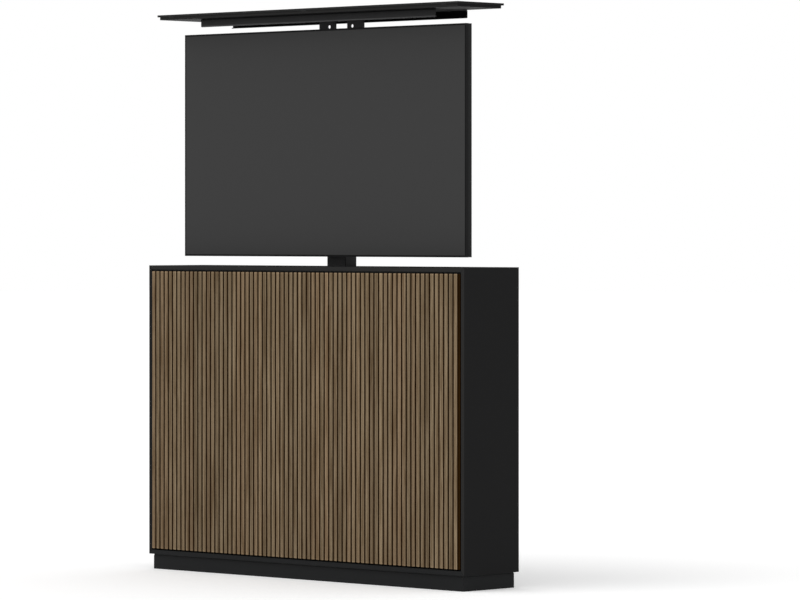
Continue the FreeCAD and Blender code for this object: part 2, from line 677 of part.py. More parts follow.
def tube(label, width, depth, low, length):
    """A column tube with rounded corners, about the column's axis."""
    body = new_body(label, y="places.column_y", z=low)
    pad(body, "XY", "0", length, centred(width, depth))
    dress(body, "Fillet", "Radius", "sizes.tube_radius", ALONG_Z)
    pocket(body, "XY", "0", length,
           centred("%s - 2 * sizes.tube_wall" % width, "%s - 2 * sizes.tube_wall" % depth))
    inner_x = number(width) / 2 - number("sizes.tube_wall")
    inner_y = number(depth) / 2 - number("sizes.tube_wall")
    dress(body, "Fillet", "Radius", "sizes.tube_radius - sizes.tube_wall", ALONG_Z,
          lambda middle: abs(abs(middle.x) - inner_x) < NEAR
          and abs(abs(middle.y) - inner_y) < NEAR)
    return body


def stage_collar(label, width, depth, low):
    """A nylon collar on top of a tube: a flange and a skirt inside the tube."""
    body = new_body(label, y="places.column_y", z=low)
    pad(body, "XY", "0", "sizes.collar_flange", centred(width, depth))
    dress(body, "Fillet", "Radius", "sizes.tube_radius", ALONG_Z)
    snug = "(2 * sizes.tube_wall + sizes.glide_play)"
    pad(body, "XY", "-sizes.collar_skirt", "0",
        centred("%s - %s" % (width, snug), "%s - %s" % (depth, snug)))
    dress(body, "Fillet", "Radius", "sizes.tube_radius - sizes.tube_wall", ALONG_Z,
          lambda middle: middle.z < 0)
    opening = "(places.stage_step - 2 * sizes.glide_play)"
    pocket(body, "XY", "-sizes.collar_skirt", "sizes.collar_flange",
           centred("%s - %s" % (width, opening), "%s - %s" % (depth, opening)))
    half = number("(%s - %s) / 2" % (width, opening))
    dress(body, "Fillet", "Radius", "sizes.tube_radius", ALONG_Z,
          lambda middle: abs(abs(middle.x) - half) < NEAR)


def stage_foot(label, width, depth, low):
    """A nylon foot around the bottom of a stage, recessed below for the nut's flange."""
    body = new_body(label, y="places.column_y", z=low)
    gap = "2 * (sizes.stage_gap - sizes.glide_play)"
    top = "sizes.foot_floor + sizes.foot_skirt"
    pad(body, "XY", "0", top, centred("%s + %s" % (width, gap), "%s + %s" % (depth, gap)))
    dress(body, "Fillet", "Radius", "sizes.tube_radius - sizes.tube_wall", ALONG_Z)
    play = "sizes.glide_play / 2"
    pocket(body, "XY", "sizes.foot_floor", top,
           centred("%s + %s" % (width, play), "%s + %s" % (depth, play)))
    barrel = "sizes.nut_barrel_wide + 2 * sizes.running_gap"
    flange = "sizes.nut_flange_wide + 2 * sizes.running_gap"
    pocket(body, "XY", "0", "sizes.foot_floor", centred(barrel, barrel))
    pocket(body, "XY", "0", "sizes.nut_flange", centred(flange, flange))


def drive_nut(label, low, bore):
    """A square bronze nut: its flange pushes up on the foot, which keeps it from turning."""
    body = new_body(label, y="places.column_y", z=low)
    pad(body, "XY", "0", "sizes.nut_height",
        centred("sizes.nut_barrel_wide", "sizes.nut_barrel_wide"))
    pad(body, "XY", "0", "sizes.nut_flange",
        centred("sizes.nut_flange_wide", "sizes.nut_flange_wide"))
    pocket(body, "XY", "0", "sizes.nut_height", ("0", "0", bore))


def outer_stage():
    """The fixed tube on its base plate, and the collar that guides the middle stage."""
    plate = new_body("base_plate", y="places.column_y", z="places.floor_z")
    pad(plate, "XY", "0", "sizes.base_plate", centred("sizes.base_wide", "sizes.base_deep"))
    dress(plate, "Chamfer", "Size", "sizes.plate_corner", ALONG_Z)
    holes = [bolt_hole(x, "0 " + y) for x, y in base_bolt_places()]
    pocket(plate, "XY", "0", "sizes.base_plate", *holes)
    length = "places.outer_top - places.base_top"
    column = tube("outer_column", "sizes.outer_wide", "sizes.outer_deep",
                  "places.base_top", length)
    notch = "(sizes.motor_neck_radius + sizes.motor_notch_play)"
    pocket(column, "YZ", "-sizes.outer_wide / 2", "-sizes.outer_wide / 2 + sizes.tube_wall",
           rectangle("-" + notch, "0", notch, "sizes.motor_rise + " + notch))
    stage_collar("outer_collar", "sizes.outer_wide", "sizes.outer_deep", "places.outer_top")


def column_brackets():
    """Two plates between the outer column and the rear rails, with their bolts."""
    for label, middle in (("upper_bracket", "places.upper_rail_z"),
                          ("lower_bracket", "places.lower_rail_z")):
        body = new_body(label, y="places.bracket_y", z=middle)
        pad(body, "XZ", "0", "sizes.bracket_thick",
            centred("sizes.bracket_wide", "sizes.bracket_height"))
        dress(body, "Chamfer", "Size", "sizes.plate_corner", ALONG_Y)
        holes = [bolt_hole(x, z) for x, z in bracket_bolt_places()]
        pocket(body, "XZ", "0", "sizes.bracket_thick", *holes)
    spacing = "sizes.bracket_wide - 2 * sizes.bracket_edge"
    rise = "sizes.bracket_height - 2 * sizes.bracket_edge"
    bolts = new_body("bracket_bolts", "-(%s) / 2" % spacing, "places.bracket_y",
                     "places.lower_rail_z - (%s) / 2" % rise, separate=True)
    first = bolt(bolts, "XZ", "sizes.bracket_thick + sizes.bolt_depth")
    grid(bolts, first, ("X", spacing, "2"), ("Z", rise, "2"),
         ("Z", "places.upper_rail_z - places.lower_rail_z", "2"))


def base_bolts():
    """Four bolts through the base plate into the bottom board."""
    across = "sizes.base_wide - 2 * sizes.base_edge"
    along = "sizes.base_deep - 2 * sizes.base_edge"
    bolts = new_body("base_bolts", "-(%s) / 2" % across, "places.column_y - (%s) / 2" % along,
                     "places.base_top", separate=True)
    first = bolt(bolts, "XY", "sizes.base_plate + sizes.bolt_depth", forward=False)
    grid(bolts, first, ("X", across, "2"), ("Y", along, "2"))


def gearbox():
    """The gear housing inside the foot of the column, with a boss for the screw."""
    body = new_body("gearbox", y="places.column_y", z="places.base_top")
    shoulder = "sizes.gearbox_height - sizes.gearbox_boss"
    pad(body, "XY", "0", shoulder,
        centred("sizes.gearbox_wide", "sizes.gearbox_deep"))
    dress(body, "Fillet", "Radius", "sizes.gearbox_radius", ALONG_Z)
    pad(body, "XY", shoulder, "sizes.gearbox_height", ("0", "0", "sizes.gearbox_boss_radius"))


def motor():
    """A cylindrical motor lying to the left of the column, its neck in the gearbox."""
    body = new_body("motor", "-sizes.gearbox_wide / 2", "places.column_y",
                    "places.base_top + sizes.motor_rise")
    radius = "sizes.motor_radius"
    neck = "sizes.motor_neck"
    far = "-%s - sizes.motor_length - sizes.motor_cap" % neck
    turn(body, "XY", "X",
         [("0", "0"), ("0", "sizes.motor_neck_radius"),
          ("-" + neck, "sizes.motor_neck_radius"), ("-" + neck, radius),
          (far + " + sizes.motor_bevel", radius), (far, radius + " - sizes.motor_bevel"),
          (far, "0")])


def drive_screw():
    """The inner screw, driven by the gearbox; it turns inside the hollow screw."""
    body = new_body("drive_screw", y="places.column_y", z="places.screw_low")
    length = ("places.hollow_low + places.stage_travel + sizes.screw_engagement"
              " - places.screw_low")
    radius = "sizes.screw_radius"
    turn(body, "XZ", "Z",
         [("0", "0"), ("sizes.collar_radius", "0"), ("sizes.collar_radius", "sizes.screw_collar"),
          (radius, "sizes.screw_collar"), (radius, length + " - sizes.screw_bevel"),
          (radius + " - sizes.screw_bevel", length), ("0", length)])


def hollow_screw():
    """The hollow screw, carried by the middle stage and keyed to the inner screw."""
    body = new_body("hollow_screw", y="places.column_y",
                    z="places.hollow_low + places.stage_travel")
    reach = "(places.inner_foot_low + sizes.nut_height + places.stage_travel - places.hollow_low)"
    length = reach + " + sizes.screw_spare + sizes.screw_collar"
    bore = "sizes.hollow_bore_radius"
    radius = "sizes.hollow_radius"
    collar = "sizes.collar_radius"
    turn(body, "XZ", "Z",
         [(bore, "0"), (collar, "0"), (collar, "sizes.screw_collar"),
          (radius, "sizes.screw_collar"), (radius, length + " - sizes.screw_collar"),
          (collar, length + " - sizes.screw_collar"), (collar, length), (bore, length)])


def middle_stage():
    """The first moving tube with its collar, foot, nut and thrust bearing."""
    rise = " + places.stage_travel"
    tube("middle_column", "places.middle_wide", "places.middle_deep",
         "places.middle_low" + rise, "places.middle_top - places.middle_low")
    stage_collar("middle_collar", "places.middle_wide", "places.middle_deep",
                 "places.middle_top" + rise)
    stage_foot("middle_foot", "places.middle_wide", "places.middle_deep",
               "places.middle_foot_low" + rise)
    drive_nut("middle_nut", "places.middle_foot_low" + rise,
              "sizes.screw_radius + sizes.screw_play")
    bearing = new_body("thrust_bearing", y="places.column_y", z="places.bearing_low" + rise)
    bore = "sizes.screw_radius + 2 * sizes.screw_play"
    radius = "sizes.bearing_radius"
    turn(bearing, "XZ", "Z",
         [(bore, "0"), (radius, "0"), (radius, "sizes.bearing_height"),
          (bore, "sizes.bearing_height")])


def inner_stage():
    """The second moving tube with its foot and nut."""
    rise = " + places.full_travel"
    tube("inner_column", "places.inner_wide", "places.inner_deep",
         "places.inner_low" + rise, "places.head_low - places.inner_low")
    stage_foot("inner_foot", "places.inner_wide", "places.inner_deep",
               "places.inner_foot_low" + rise)
    drive_nut("inner_nut", "places.inner_foot_low" + rise,
              "sizes.hollow_radius + sizes.screw_play")


# ---------------------------------------------------------------- carriage

def head_and_spine():
    """The plate on the inner stage and the plate that hangs from it."""
    rise = " + places.full_travel"
    head = new_body("head_plate", y="places.spine_y", z="places.head_low" + rise)
    pad(head, "XY", "0", "sizes.head_plate",
        rectangle("-sizes.head_wide / 2", "0", "sizes.head_wide / 2",
                  "places.column_y + sizes.head_behind - places.spine_y"))
    dress(head, "Chamfer", "Size", "sizes.plate_corner", ALONG_Z)
    spine = new_body("spine_plate", y="places.spine_y", z="places.tv_middle" + rise)
    low = "-sizes.bar_spacing / 2 - sizes.spine_below"
    pad(spine, "XZ", "0", "sizes.spine_thick",
        rectangle("-sizes.spine_wide / 2", low, "sizes.spine_wide / 2",
                  "places.head_low - places.tv_middle"))
    bottom = number(low)
    dress(spine, "Chamfer", "Size", "sizes.plate_corner", ALONG_Y,
          lambda middle: abs(middle.z - bottom) < NEAR)
    pocket(spine, "XZ", "0", "sizes.spine_thick", *spine_bolt_holes())


def spine_bolt_holes():
    """Four holes where the crossbars are bolted to the spine plate."""
    x = "sizes.spine_bolt_spacing / 2"
    z = "sizes.bar_spacing / 2"
    return [bolt_hole(sign_x + x, sign_z + z) for sign_x in ("-", "") for sign_z in ("-", "")]


def crossbars():
    """Two flat tubes across the spine plate and the bolts that hold them."""
    rise = "places.tv_middle + places.full_travel"
    wall = "sizes.bar_wall"
    for label, sign in (("upper_crossbar", "+"), ("lower_crossbar", "-")):
        body = new_body(label, "-sizes.bar_length / 2", "places.bar_y",
                        "%s %s sizes.bar_spacing / 2" % (rise, sign))
        half = "sizes.bar_high / 2"
        pad(body, "YZ", "0", "sizes.bar_length", rectangle("0", "-" + half, "sizes.bar_deep", half))
        pocket(body, "YZ", "0", "sizes.bar_length",
               rectangle(wall, "%s - %s" % (wall, half), "sizes.bar_deep - " + wall,
                         "%s - %s" % (half, wall)))
        middle = "sizes.bar_length / 2"
        holes = [bolt_hole(middle + sign_x + "sizes.spine_bolt_spacing / 2", "0")
                 for sign_x in (" - ", " + ")]
        pocket(body, "XZ", "0", "sizes.bar_deep", *holes)
    bolts = new_body("spine_bolts", "-sizes.spine_bolt_spacing / 2", "places.bar_y",
                     rise + " - sizes.bar_spacing / 2", separate=True)
    first = bolt(bolts, "XZ", "sizes.bar_deep + sizes.spine_thick")
    grid(bolts, first, ("X", "sizes.spine_bolt_spacing", "2"), ("Z", "sizes.bar_spacing", "2"))


def mounting_arm(label, side):
    """An upright channel bolted to the television, hooked over both crossbars."""
    body = new_body(label, "%d * sizes.vesa / 2" % side, "places.tv_back_y",
                    "places.tv_middle + places.full_travel")
    half = "sizes.arm_wide / 2"
    sheet = "sizes.arm_sheet"
    end = "sizes.arm_length / 2"
    pad(body, "XY", "-" + end, end,
        [("-" + half, "0"), (half, "0"), (half, "sizes.arm_deep"),
         ("%s - %s" % (half, sheet), "sizes.arm_deep"), ("%s - %s" % (half, sheet), sheet),
         ("%s - %s" % (sheet, half), sheet), ("%s - %s" % (sheet, half), "sizes.arm_deep"),
         ("-" + half, "sizes.arm_deep")])
    hook_low = "sizes.bar_high / 2 + sizes.hook_gap"
    hook_top = hook_low + " + sizes.bar_deep"
    flank = "sizes.arm_deep + sizes.bar_deep + sizes.hook_gap"
    for sign in (" + ", " - "):
        middle = "0%ssizes.bar_spacing / 2" % sign
        for left, right in (("-" + half, "%s - %s" % (sheet, half)),
                            ("%s - %s" % (half, sheet), half)):
            pad(body, "YZ", left, right,
                [("sizes.arm_deep - " + sheet, "%s + %s" % (middle, hook_low)),
                 (flank, "%s + %s" % (middle, hook_low)), (flank, middle),
                 (flank + " + sizes.arm_sheet", middle),
                 (flank + " + sizes.arm_sheet", "%s + %s" % (middle, hook_top)),
                 ("sizes.arm_deep - " + sheet, "%s + %s" % (middle, hook_top))])
    holes = [bolt_hole("0", sign + "sizes.vesa / 2") for sign in ("-", "")]
    pocket(body, "XZ", "0", sheet, *holes)


def vesa_bolts():
    """Four bolts through the mounting arms into the television's bosses."""
    body = new_body("vesa_bolts", "-sizes.vesa / 2", "places.tv_back_y + sizes.arm_sheet",
                    "places.tv_middle + places.full_travel - sizes.vesa / 2", separate=True)
    first = bolt(body, "XZ", "sizes.arm_sheet + sizes.bolt_depth", forward=False)
    grid(body, first, ("X", "sizes.vesa", "2"), ("Z", "sizes.vesa", "2"))


def lid_support(label, side):
    """A folded upright between the head plate and the lid channel."""
    foot = "places.head_low + sizes.head_plate"
    body = new_body(label, y="places.column_y - sizes.support_deep / 2",
                    z=foot + " + places.full_travel")
    height = "(places.channel_top - sizes.channel_sheet - places.head_low - sizes.head_plate)"
    near = "%d * sizes.support_inner" % side
    far = "%d * (sizes.support_inner + sizes.support_wide)" % side
    sheet = "sizes.support_sheet"
    flange_near = "%s + %d * %s" % (near, side, sheet)
    flange_far = "%s - %d * %s" % (far, side, sheet)
    deep = "sizes.support_deep"
    pad(body, "XY", "0", height,
        [(near, "0"), (far, "0"), (far, deep), (flange_far, deep), (flange_far, sheet),
         (flange_near, sheet), (flange_near, deep), (near, deep)])
    tab = rectangle(flange_near, sheet, flange_far, "%s + sizes.support_tab" % deep)
    pad(body, "XY", "0", sheet, tab)
    pad(body, "XY", "%s - %s" % (height, sheet), height, tab)
    centre = "%s + %d * sizes.support_hole_edge" % (near, side)
    pocket(body, "XZ", "0", sheet,
           (centre, height + " - sizes.support_hole_drop", "sizes.support_hole_radius"))


def lid_channel():
    """A folded channel, open downwards with returned edges, under the lid."""
    body = new_body("lid_channel", "-sizes.channel_length / 2", "places.channel_front_y",
                    "places.channel_low + places.full_travel")
    deep = "(places.channel_back_y - places.channel_front_y)"
    high = "sizes.channel_high"
    sheet = "sizes.channel_sheet"
    hem = "sizes.channel_hem"
    pad(body, "YZ", "0", "sizes.channel_length",
        [("0", "0"), (hem, "0"), (hem, sheet), (sheet, sheet), (sheet, "%s - %s" % (high, sheet)),
         ("%s - %s" % (deep, sheet), "%s - %s" % (high, sheet)),
         ("%s - %s" % (deep, sheet), sheet), ("%s - %s" % (deep, hem), sheet),
         ("%s - %s" % (deep, hem), "0"), (deep, "0"), (deep, high), ("0", high)])


def lid_board():
    """The floating lid: an upper layer with a lip around the lower one."""
    body = new_body("lid_board", z="places.lip_low + places.full_travel")
    pad(body, "XY", "0", "sizes.lid_top",
        rectangle("-places.lid_half", "places.lid_front_y", "places.lid_half",
                  "places.lid_back_y"))
    pad(body, "XY", "-sizes.lid_core", "0",
        rectangle("-places.core_half", "places.core_front_y", "places.core_half",
                  "places.core_back_y"))
    inset = "(sizes.lid_lip - sizes.bumper_width) / 2"
    bumpers = new_body("lid_bumpers",
                       "-places.lid_half + sizes.bumper_end_gap", "places.lid_front_y + " + inset,
                       "places.lip_low + places.full_travel - sizes.bumper_thick", separate=True)
    first = [pad(bumpers, "XY", "0", "sizes.bumper_thick",
                 rectangle("0", "0", "sizes.bumper_length", "sizes.bumper_width"))]
    along = "places.lid_half - sizes.bumper_end_gap - sizes.bumper_length / 2"
    across = "places.lid_back_y - places.lid_front_y - 2 * %s - sizes.bumper_width" % inset
    grid(bumpers, first, ("X", along, "3"), ("Y", across, "2"))


# ---------------------------------------------------------------- television

def tv_bezel():
    """The front frame: a thin rim with a ledge behind the glass."""
    body = new_body("tv_bezel", y="places.tv_front_y", z="places.tv_middle + places.full_travel")
    wide = "sizes.tv_wide - 2 * sizes.bezel_wall"
    high = "sizes.tv_high - 2 * sizes.bezel_wall"
    pad(body, "XZ", "0", "sizes.bezel_deep", centred("sizes.tv_wide", "sizes.tv_high"))
    pocket(body, "XZ", "0", "sizes.glass_recess + sizes.glass_thick", centred(wide, high))
    behind = "sizes.glass_recess + sizes.glass_thick + sizes.bezel_ledge_thick"
    pocket(body, "XZ", behind, "sizes.bezel_deep", centred(wide, high))
    pocket(body, "XZ", "0", behind,
           centred(wide + " - 2 * sizes.bezel_ledge", high + " - 2 * sizes.bezel_ledge"))


def tv_screen():
    """The glass that stands on the bezel's ledge."""
    body = new_body("tv_screen", y="places.tv_front_y + sizes.glass_recess",
                    z="places.tv_middle + places.full_travel")
    less = " - 2 * sizes.bezel_wall - 2 * sizes.glass_play"
    pad(body, "XZ", "0", "sizes.glass_thick",
        centred("sizes.tv_wide" + less, "sizes.tv_high" + less))


def tv_back_cover():
    """A bevelled shell with mounting bosses and a row of vents."""
    body = new_body("tv_back_cover", y="places.tv_front_y + sizes.bezel_deep",
                    z="places.tv_middle + places.full_travel")
    wide = "sizes.tv_wide - 2 * sizes.cover_inset"
    high = "sizes.tv_high - 2 * sizes.cover_inset"
    deep = "(sizes.tv_deep - sizes.bezel_deep)"
    pad(body, "XZ", "0", deep, centred(wide, high))
    back = number(deep)
    for direction in (ALONG_X, ALONG_Z):
        dress(body, "Chamfer", "Size", "sizes.cover_chamfer", direction,
              lambda middle: abs(middle.y - back) < NEAR)
    wall = "sizes.cover_wall"
    less = " - 2 * %s" % wall
    slope = "sizes.cover_chamfer"
    pocket(body, "XZ", "0", "%s - %s" % (deep, slope), centred(wide + less, high + less))
    less = " - 2 * (%s + %s)" % (wall, slope)
    pocket(body, "XZ", "%s - %s" % (deep, slope), "%s - %s" % (deep, wall),
           centred(wide + less, high + less))
    half = "sizes.vesa / 2"
    corners = [(sign_x + half, sign_z + half) for sign_x in ("-", "") for sign_z in ("-", "")]
    pad(body, "XZ", "%s - sizes.boss_deep" % deep, "%s - %s / 2" % (deep, wall),
        *[(x, z, "sizes.boss_radius") for x, z in corners])
    pocket(body, "XZ", "%s - sizes.bolt_depth - sizes.bolt_play" % deep, deep,
           *[bolt_hole(x, z) for x, z in corners])
    top = "sizes.tv_high / 2 - sizes.cover_vent_drop"
    start = "-(sizes.cover_vent_count - 1) * sizes.cover_vent_spacing / 2"
    slot = pocket(body, "XZ", "%s - %s" % (deep, wall), deep,
                  rectangle(start + " - sizes.cover_vent_width / 2",
                            top + " - sizes.cover_vent_length",
                            start + " + sizes.cover_vent_width / 2", top))
    repeat(body, [slot], "X", "sizes.cover_vent_spacing", "sizes.cover_vent_count")


# ---------------------------------------------------------------- controls

def control_box():
    """The control box on the bottom board, with its mains inlet."""
    start = "places.rail_y - sizes.control_behind - sizes.control_deep"
    body = new_body("control_box", "sizes.control_side", start, "places.floor_z")
    pad(body, "XY", "0", "sizes.control_high",
        rectangle("0", "0", "sizes.control_wide", "sizes.control_deep"))
    dress(body, "Fillet", "Radius", "sizes.control_radius", ALONG_Z)
    top = number("sizes.control_high")
    dress(body, "Chamfer", "Size", "sizes.control_bevel", ALONG_X,
          lambda middle: abs(middle.z - top) < NEAR)
    across = "sizes.control_deep / 2"
    half = "sizes.inlet_wide / 2"
    low = "(sizes.control_high - sizes.inlet_high) / 2"
    depth = "sizes.inlet_deep - sizes.inlet_proud"
    pocket(body, "YZ", "sizes.control_wide - (%s)" % depth, "sizes.control_wide",
           rectangle("%s - %s" % (across, half), low, "%s + %s" % (across, half),
                     low + " + sizes.inlet_high"))
    inlet = new_body("power_inlet", "sizes.control_side + sizes.control_wide - (%s)" % depth,
                     start + " + " + across, "places.floor_z + " + low)
    pad(inlet, "YZ", "0", "sizes.inlet_deep", rectangle("-" + half, "0", half, "sizes.inlet_high"))
    wall = "sizes.inlet_wall"
    pocket(inlet, "YZ", wall, "sizes.inlet_deep",
           rectangle("%s - %s" % (wall, half), wall, "%s - %s" % (half, wall),
                     "sizes.inlet_high - " + wall))
    wide = "sizes.inlet_blade_wide / 2"
    for offset, rise in (("-sizes.inlet_blade_side", "0"), ("0", "sizes.inlet_blade_rise"),
                         ("sizes.inlet_blade_side", "0")):
        low = "(sizes.inlet_high - sizes.inlet_blade_high) / 2 + " + rise
        pad(inlet, "YZ", wall, "sizes.inlet_deep - " + wall,
            rectangle("%s - %s" % (offset, wide), low, "%s + %s" % (offset, wide),
                      low + " + sizes.inlet_blade_high"))


# ---------------------------------------------------------------- assembly

def check_document():
    """Stop if any feature failed or any sub-part isn't a sound solid."""
    for item in doc.Objects:
        if "Invalid" in item.State or "Error" in item.State:
            raise RuntimeError("%s failed: %s" % (item.Label, item.State))
    for body in sub_parts:
        if body.Shape.isNull() or not body.Shape.isValid() or not body.Shape.Solids:
            raise RuntimeError("%s has no sound solid" % body.Label)


side_board("left_side", -1)
side_board("right_side", 1)
bottom_board()
top_board()
back_panel()
cable_grommet()
plinth()
front_panel()
for group, label in enumerate(("slats_left", "slats_middle", "slats_right")):
    slat_group(label, group)
rear_rail("upper_rail", "places.upper_rail_z")
rear_rail("lower_rail", "places.lower_rail_z")
outer_stage()
base_bolts()
column_brackets()
gearbox()
motor()
drive_screw()
hollow_screw()
middle_stage()
inner_stage()
head_and_spine()
crossbars()
mounting_arm("vesa_arm_left", -1)
mounting_arm("vesa_arm_right", 1)
vesa_bolts()
lid_support("lid_support_left", -1)
lid_support("lid_support_right", 1)
lid_channel()
lid_board()
tv_bezel()
tv_screen()
tv_back_cover()
control_box()

doc.recompute()
check_document()
os.makedirs("parts", exist_ok=True)
for body in sub_parts:
    body.Shape.exportStep(os.path.join("parts", body.Label + ".step"))
print("wrote", len(sub_parts), "parts")
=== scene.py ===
"""Television lift cabinet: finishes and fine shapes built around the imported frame."""
import json
from functools import partial
from math import pi, radians, tau

import bmesh
import bpy
import numpy as np
from bpy.props import FloatProperty, FloatVectorProperty, IntProperty, PointerProperty
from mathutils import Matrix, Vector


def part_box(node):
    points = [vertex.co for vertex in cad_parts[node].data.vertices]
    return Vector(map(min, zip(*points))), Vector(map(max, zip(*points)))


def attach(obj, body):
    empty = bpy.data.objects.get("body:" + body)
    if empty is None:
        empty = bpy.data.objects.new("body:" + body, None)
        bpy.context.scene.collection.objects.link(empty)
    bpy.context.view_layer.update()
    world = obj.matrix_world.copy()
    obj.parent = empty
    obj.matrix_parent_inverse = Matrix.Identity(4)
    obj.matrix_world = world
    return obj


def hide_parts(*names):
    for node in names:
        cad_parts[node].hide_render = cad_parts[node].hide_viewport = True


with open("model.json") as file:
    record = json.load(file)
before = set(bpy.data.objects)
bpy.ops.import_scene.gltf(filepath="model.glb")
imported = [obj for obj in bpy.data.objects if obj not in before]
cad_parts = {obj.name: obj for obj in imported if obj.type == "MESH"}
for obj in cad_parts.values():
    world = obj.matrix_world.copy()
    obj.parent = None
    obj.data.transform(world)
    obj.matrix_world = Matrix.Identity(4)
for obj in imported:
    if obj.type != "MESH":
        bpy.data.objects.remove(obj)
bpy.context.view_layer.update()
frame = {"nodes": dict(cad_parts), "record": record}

bl_info = {
    "name": "Television lift cabinet",
    "version": (1, 0, 0),
    "blender": (4, 5, 0),
    "location": "3D View > Sidebar > Lift Cabinet",
    "description": "Builds the finishes, fastenings and studio of a television lift cabinet",
    "category": "Object",
}

MM = 0.001
NODES = frame["nodes"]
RECORD = frame["record"]
BODY_OF = {node: body for body, nodes in RECORD["behaviour"]["bodies"].items() for node in nodes}
SLOT_OF = {part["node"]: part["material_slot"] for part in RECORD["subparts"]}

MERGE = 1e-5                # points nearer than this are one point
FLAT = radians(1)           # faces that differ by less are one face
CREASE = radians(32)        # edges that turn by more are hard edges
FRONTWARD = -0.9            # a face whose normal's y is below this looks to the front

FINE_EASE = 0.3 * MM        # rounded edges of sheet, tube and other fine parts
SMALL_EASE = 0.4 * MM       # rounded edges of the guides, the nuts, the bearing and the screen
BROAD_EASE = 0.8 * MM       # rounded edges of the gearbox, the lid supports and the back cover
SUNK = 0.3 * MM             # how far relief starts below the face that carries it

# The picture that the camera frames, in its own pixels.
PICTURE_WIDTH = 800
PICTURE_HEIGHT = 600
HORIZON_ROW = 231.34
FOCAL_PIXELS = 4555.07
SENSOR = 36.0

# How many places to turn (across, up, along) so that "along" is the named axis.
TURNS = {"Z": 0, "X": 1, "Y": 2}


# ---------------------------------------------------------------- settings

Amount = partial(FloatProperty, min=0)
Angle = partial(FloatProperty, subtype="ANGLE")
Colour = partial(FloatVectorProperty, size=3, subtype="COLOR")
Length = partial(FloatProperty, min=0, unit="LENGTH")


class CaseSettings(bpy.types.PropertyGroup):
    """Sizes and colours of the boards."""
    rounding: Length(name="Edge rounding", description="Eased edges of the boards",
                     default=0.8 * MM)
    lacquer: Colour(name="Lacquer", description="Black lacquer of the case",
                    default=(0.0113, 0.0113, 0.0115))
    # Lighter lacquer for eased edges, partly a painted highlight, and painted light on the plinth.
    lacquer_edge: Colour(name="Lacquer edge", description="Lacquer thinned on edges",
                         default=(0.0160, 0.0165, 0.0170))
    # Lighter lacquer on faces towards the front: painted light.
    lacquer_front: Colour(name="Lacquer front", description="Lacquer on cut edges",
                          default=(0.0215, 0.0214, 0.0210))
    pine: Colour(name="Pine", description="Battens and rails inside the case",
                 default=(0.57, 0.37, 0.17))


class FrontSettings(bpy.types.PropertyGroup):
    """Sizes and colours of the slatted front."""
    count: IntProperty(name="Slats in a group", description="Slats in each third of the front",
                       default=23, min=1)
    rounding: Length(name="Slat rounding", description="Rounded long edges of a slat",
                     default=0.9 * MM)
    end_rounding: Length(name="Slat end", description="Eased ends of a slat", default=1.5 * MM)
    # The slats' paler ends are a painted highlight where the ends catch light.
    highlight_end: Length(name="Pale end", description="Length of a slat's paler sanded end",
                     default=7 * MM)
    highlight_gain: Amount(name="Paler by", description="How much lighter a slat's ends are", default=0.3)
    light: Colour(name="Walnut, light", description="Early wood of the slats",
                  default=(0.240, 0.179, 0.111))
    dark: Colour(name="Walnut, dark", description="Late wood of the slats",
                 default=(0.119, 0.0800, 0.0430))
    # The groove colour on the slats' sides is painted shade in the grooves between slats.
    groove_shade: Colour(name="Groove stain", description="Stain on the sides of the slats",
                  default=(0.027, 0.0085, 0.0003))
    backing: Colour(name="Backing", description="Stained board behind the slats",
                    default=(0.024, 0.0100, 0.0012))
    seed: IntProperty(name="Seed", description="Chooses the tones of the slats", default=7)


class MetalSettings(bpy.types.PropertyGroup):
    """Sizes and colours of the lift."""
    powder: Colour(name="Powder coat", description="Black powder coat",
                   default=(0.0130, 0.0130, 0.0134))
    zinc: Colour(name="Zinc", description="Plated bolts and screws", default=(0.50, 0.50, 0.51))
    bend: Length(name="Bend radius", description="Middle of a folded sheet's bends",
                 default=3.0 * MM)
    lead: Length(name="Screw lead", description="Travel for one turn of a drive screw",
                 default=20 * MM)
    starts: IntProperty(name="Thread starts", description="Threads side by side", default=4, min=1)
    thread: Length(name="Thread depth", description="Depth of a drive screw's thread",
                   default=1.3 * MM)


class TelevisionSettings(bpy.types.PropertyGroup):
    """Sizes and colours of the television."""
    glass: Colour(name="Screen", description="Switched-off screen",
                  default=(0.0400, 0.0400, 0.0400))
    border: Length(name="Border", description="Black border under the screen's edge",
                   default=3.5 * MM)
    frame: Colour(name="Frame", description="Satin black front frame",
                  default=(0.0030, 0.0030, 0.0032))


class StageSettings(bpy.types.PropertyGroup):
    """Camera, floor and light."""
    eye: FloatVectorProperty(name="Camera", description="Where the camera stands",
                             default=(11.7596, -11.7925, 1.2666), size=3, subtype="XYZ",
                             unit="LENGTH")
    heading: Angle(name="Heading", description="Camera's turn about the upright",
                   default=radians(44.02))
    sky: Amount(name="Sky", description="Even light from all round", default=0.85)
    lamp: Amount(name="Lamp", description="Strength of the soft lamp", default=0.68)
    lamp_size: Angle(name="Lamp size", description="Angle that the soft lamp fills",
                     default=radians(40))
    lamp_tilt: Angle(name="Lamp tilt", description="Soft lamp away from overhead",
                     default=radians(38))
    lamp_turn: Angle(name="Lamp turn", description="Soft lamp to the left of the front",
                     default=radians(30))
    floor_grey: Amount(name="Floor", description="How much light the floor gives back",
                       default=0.96, max=1)
    floor_glow: Amount(name="Floor glow", description="White that the floor adds",
                       default=0.135, max=1)


class CabinetSettings(bpy.types.PropertyGroup):
    """All settings of the cabinet."""
    case: PointerProperty(type=CaseSettings)
    front: PointerProperty(type=FrontSettings)
    metal: PointerProperty(type=MetalSettings)
    television: PointerProperty(type=TelevisionSettings)
    stage: PointerProperty(type=StageSettings)


# ---------------------------------------------------------------- shapes

def directions(angle):
    """The cosine and sine of each angle, side by side."""
    return np.stack([np.cos(angle), np.sin(angle)], axis=-1)


def arc(centre, radius, start, end, steps):
    """Centre plus radius times the cosine and sine of an angle that runs from start to end."""
    return np.asarray(centre) + radius * directions(np.linspace(start, end, steps + 1))


def circle(radius, count):
    """Radius times the cosine and sine of evenly spaced angles.

    The radius is one number, or an array with one for each loop or each point.
    """
    return radius * directions(np.arange(count) * tau / count)


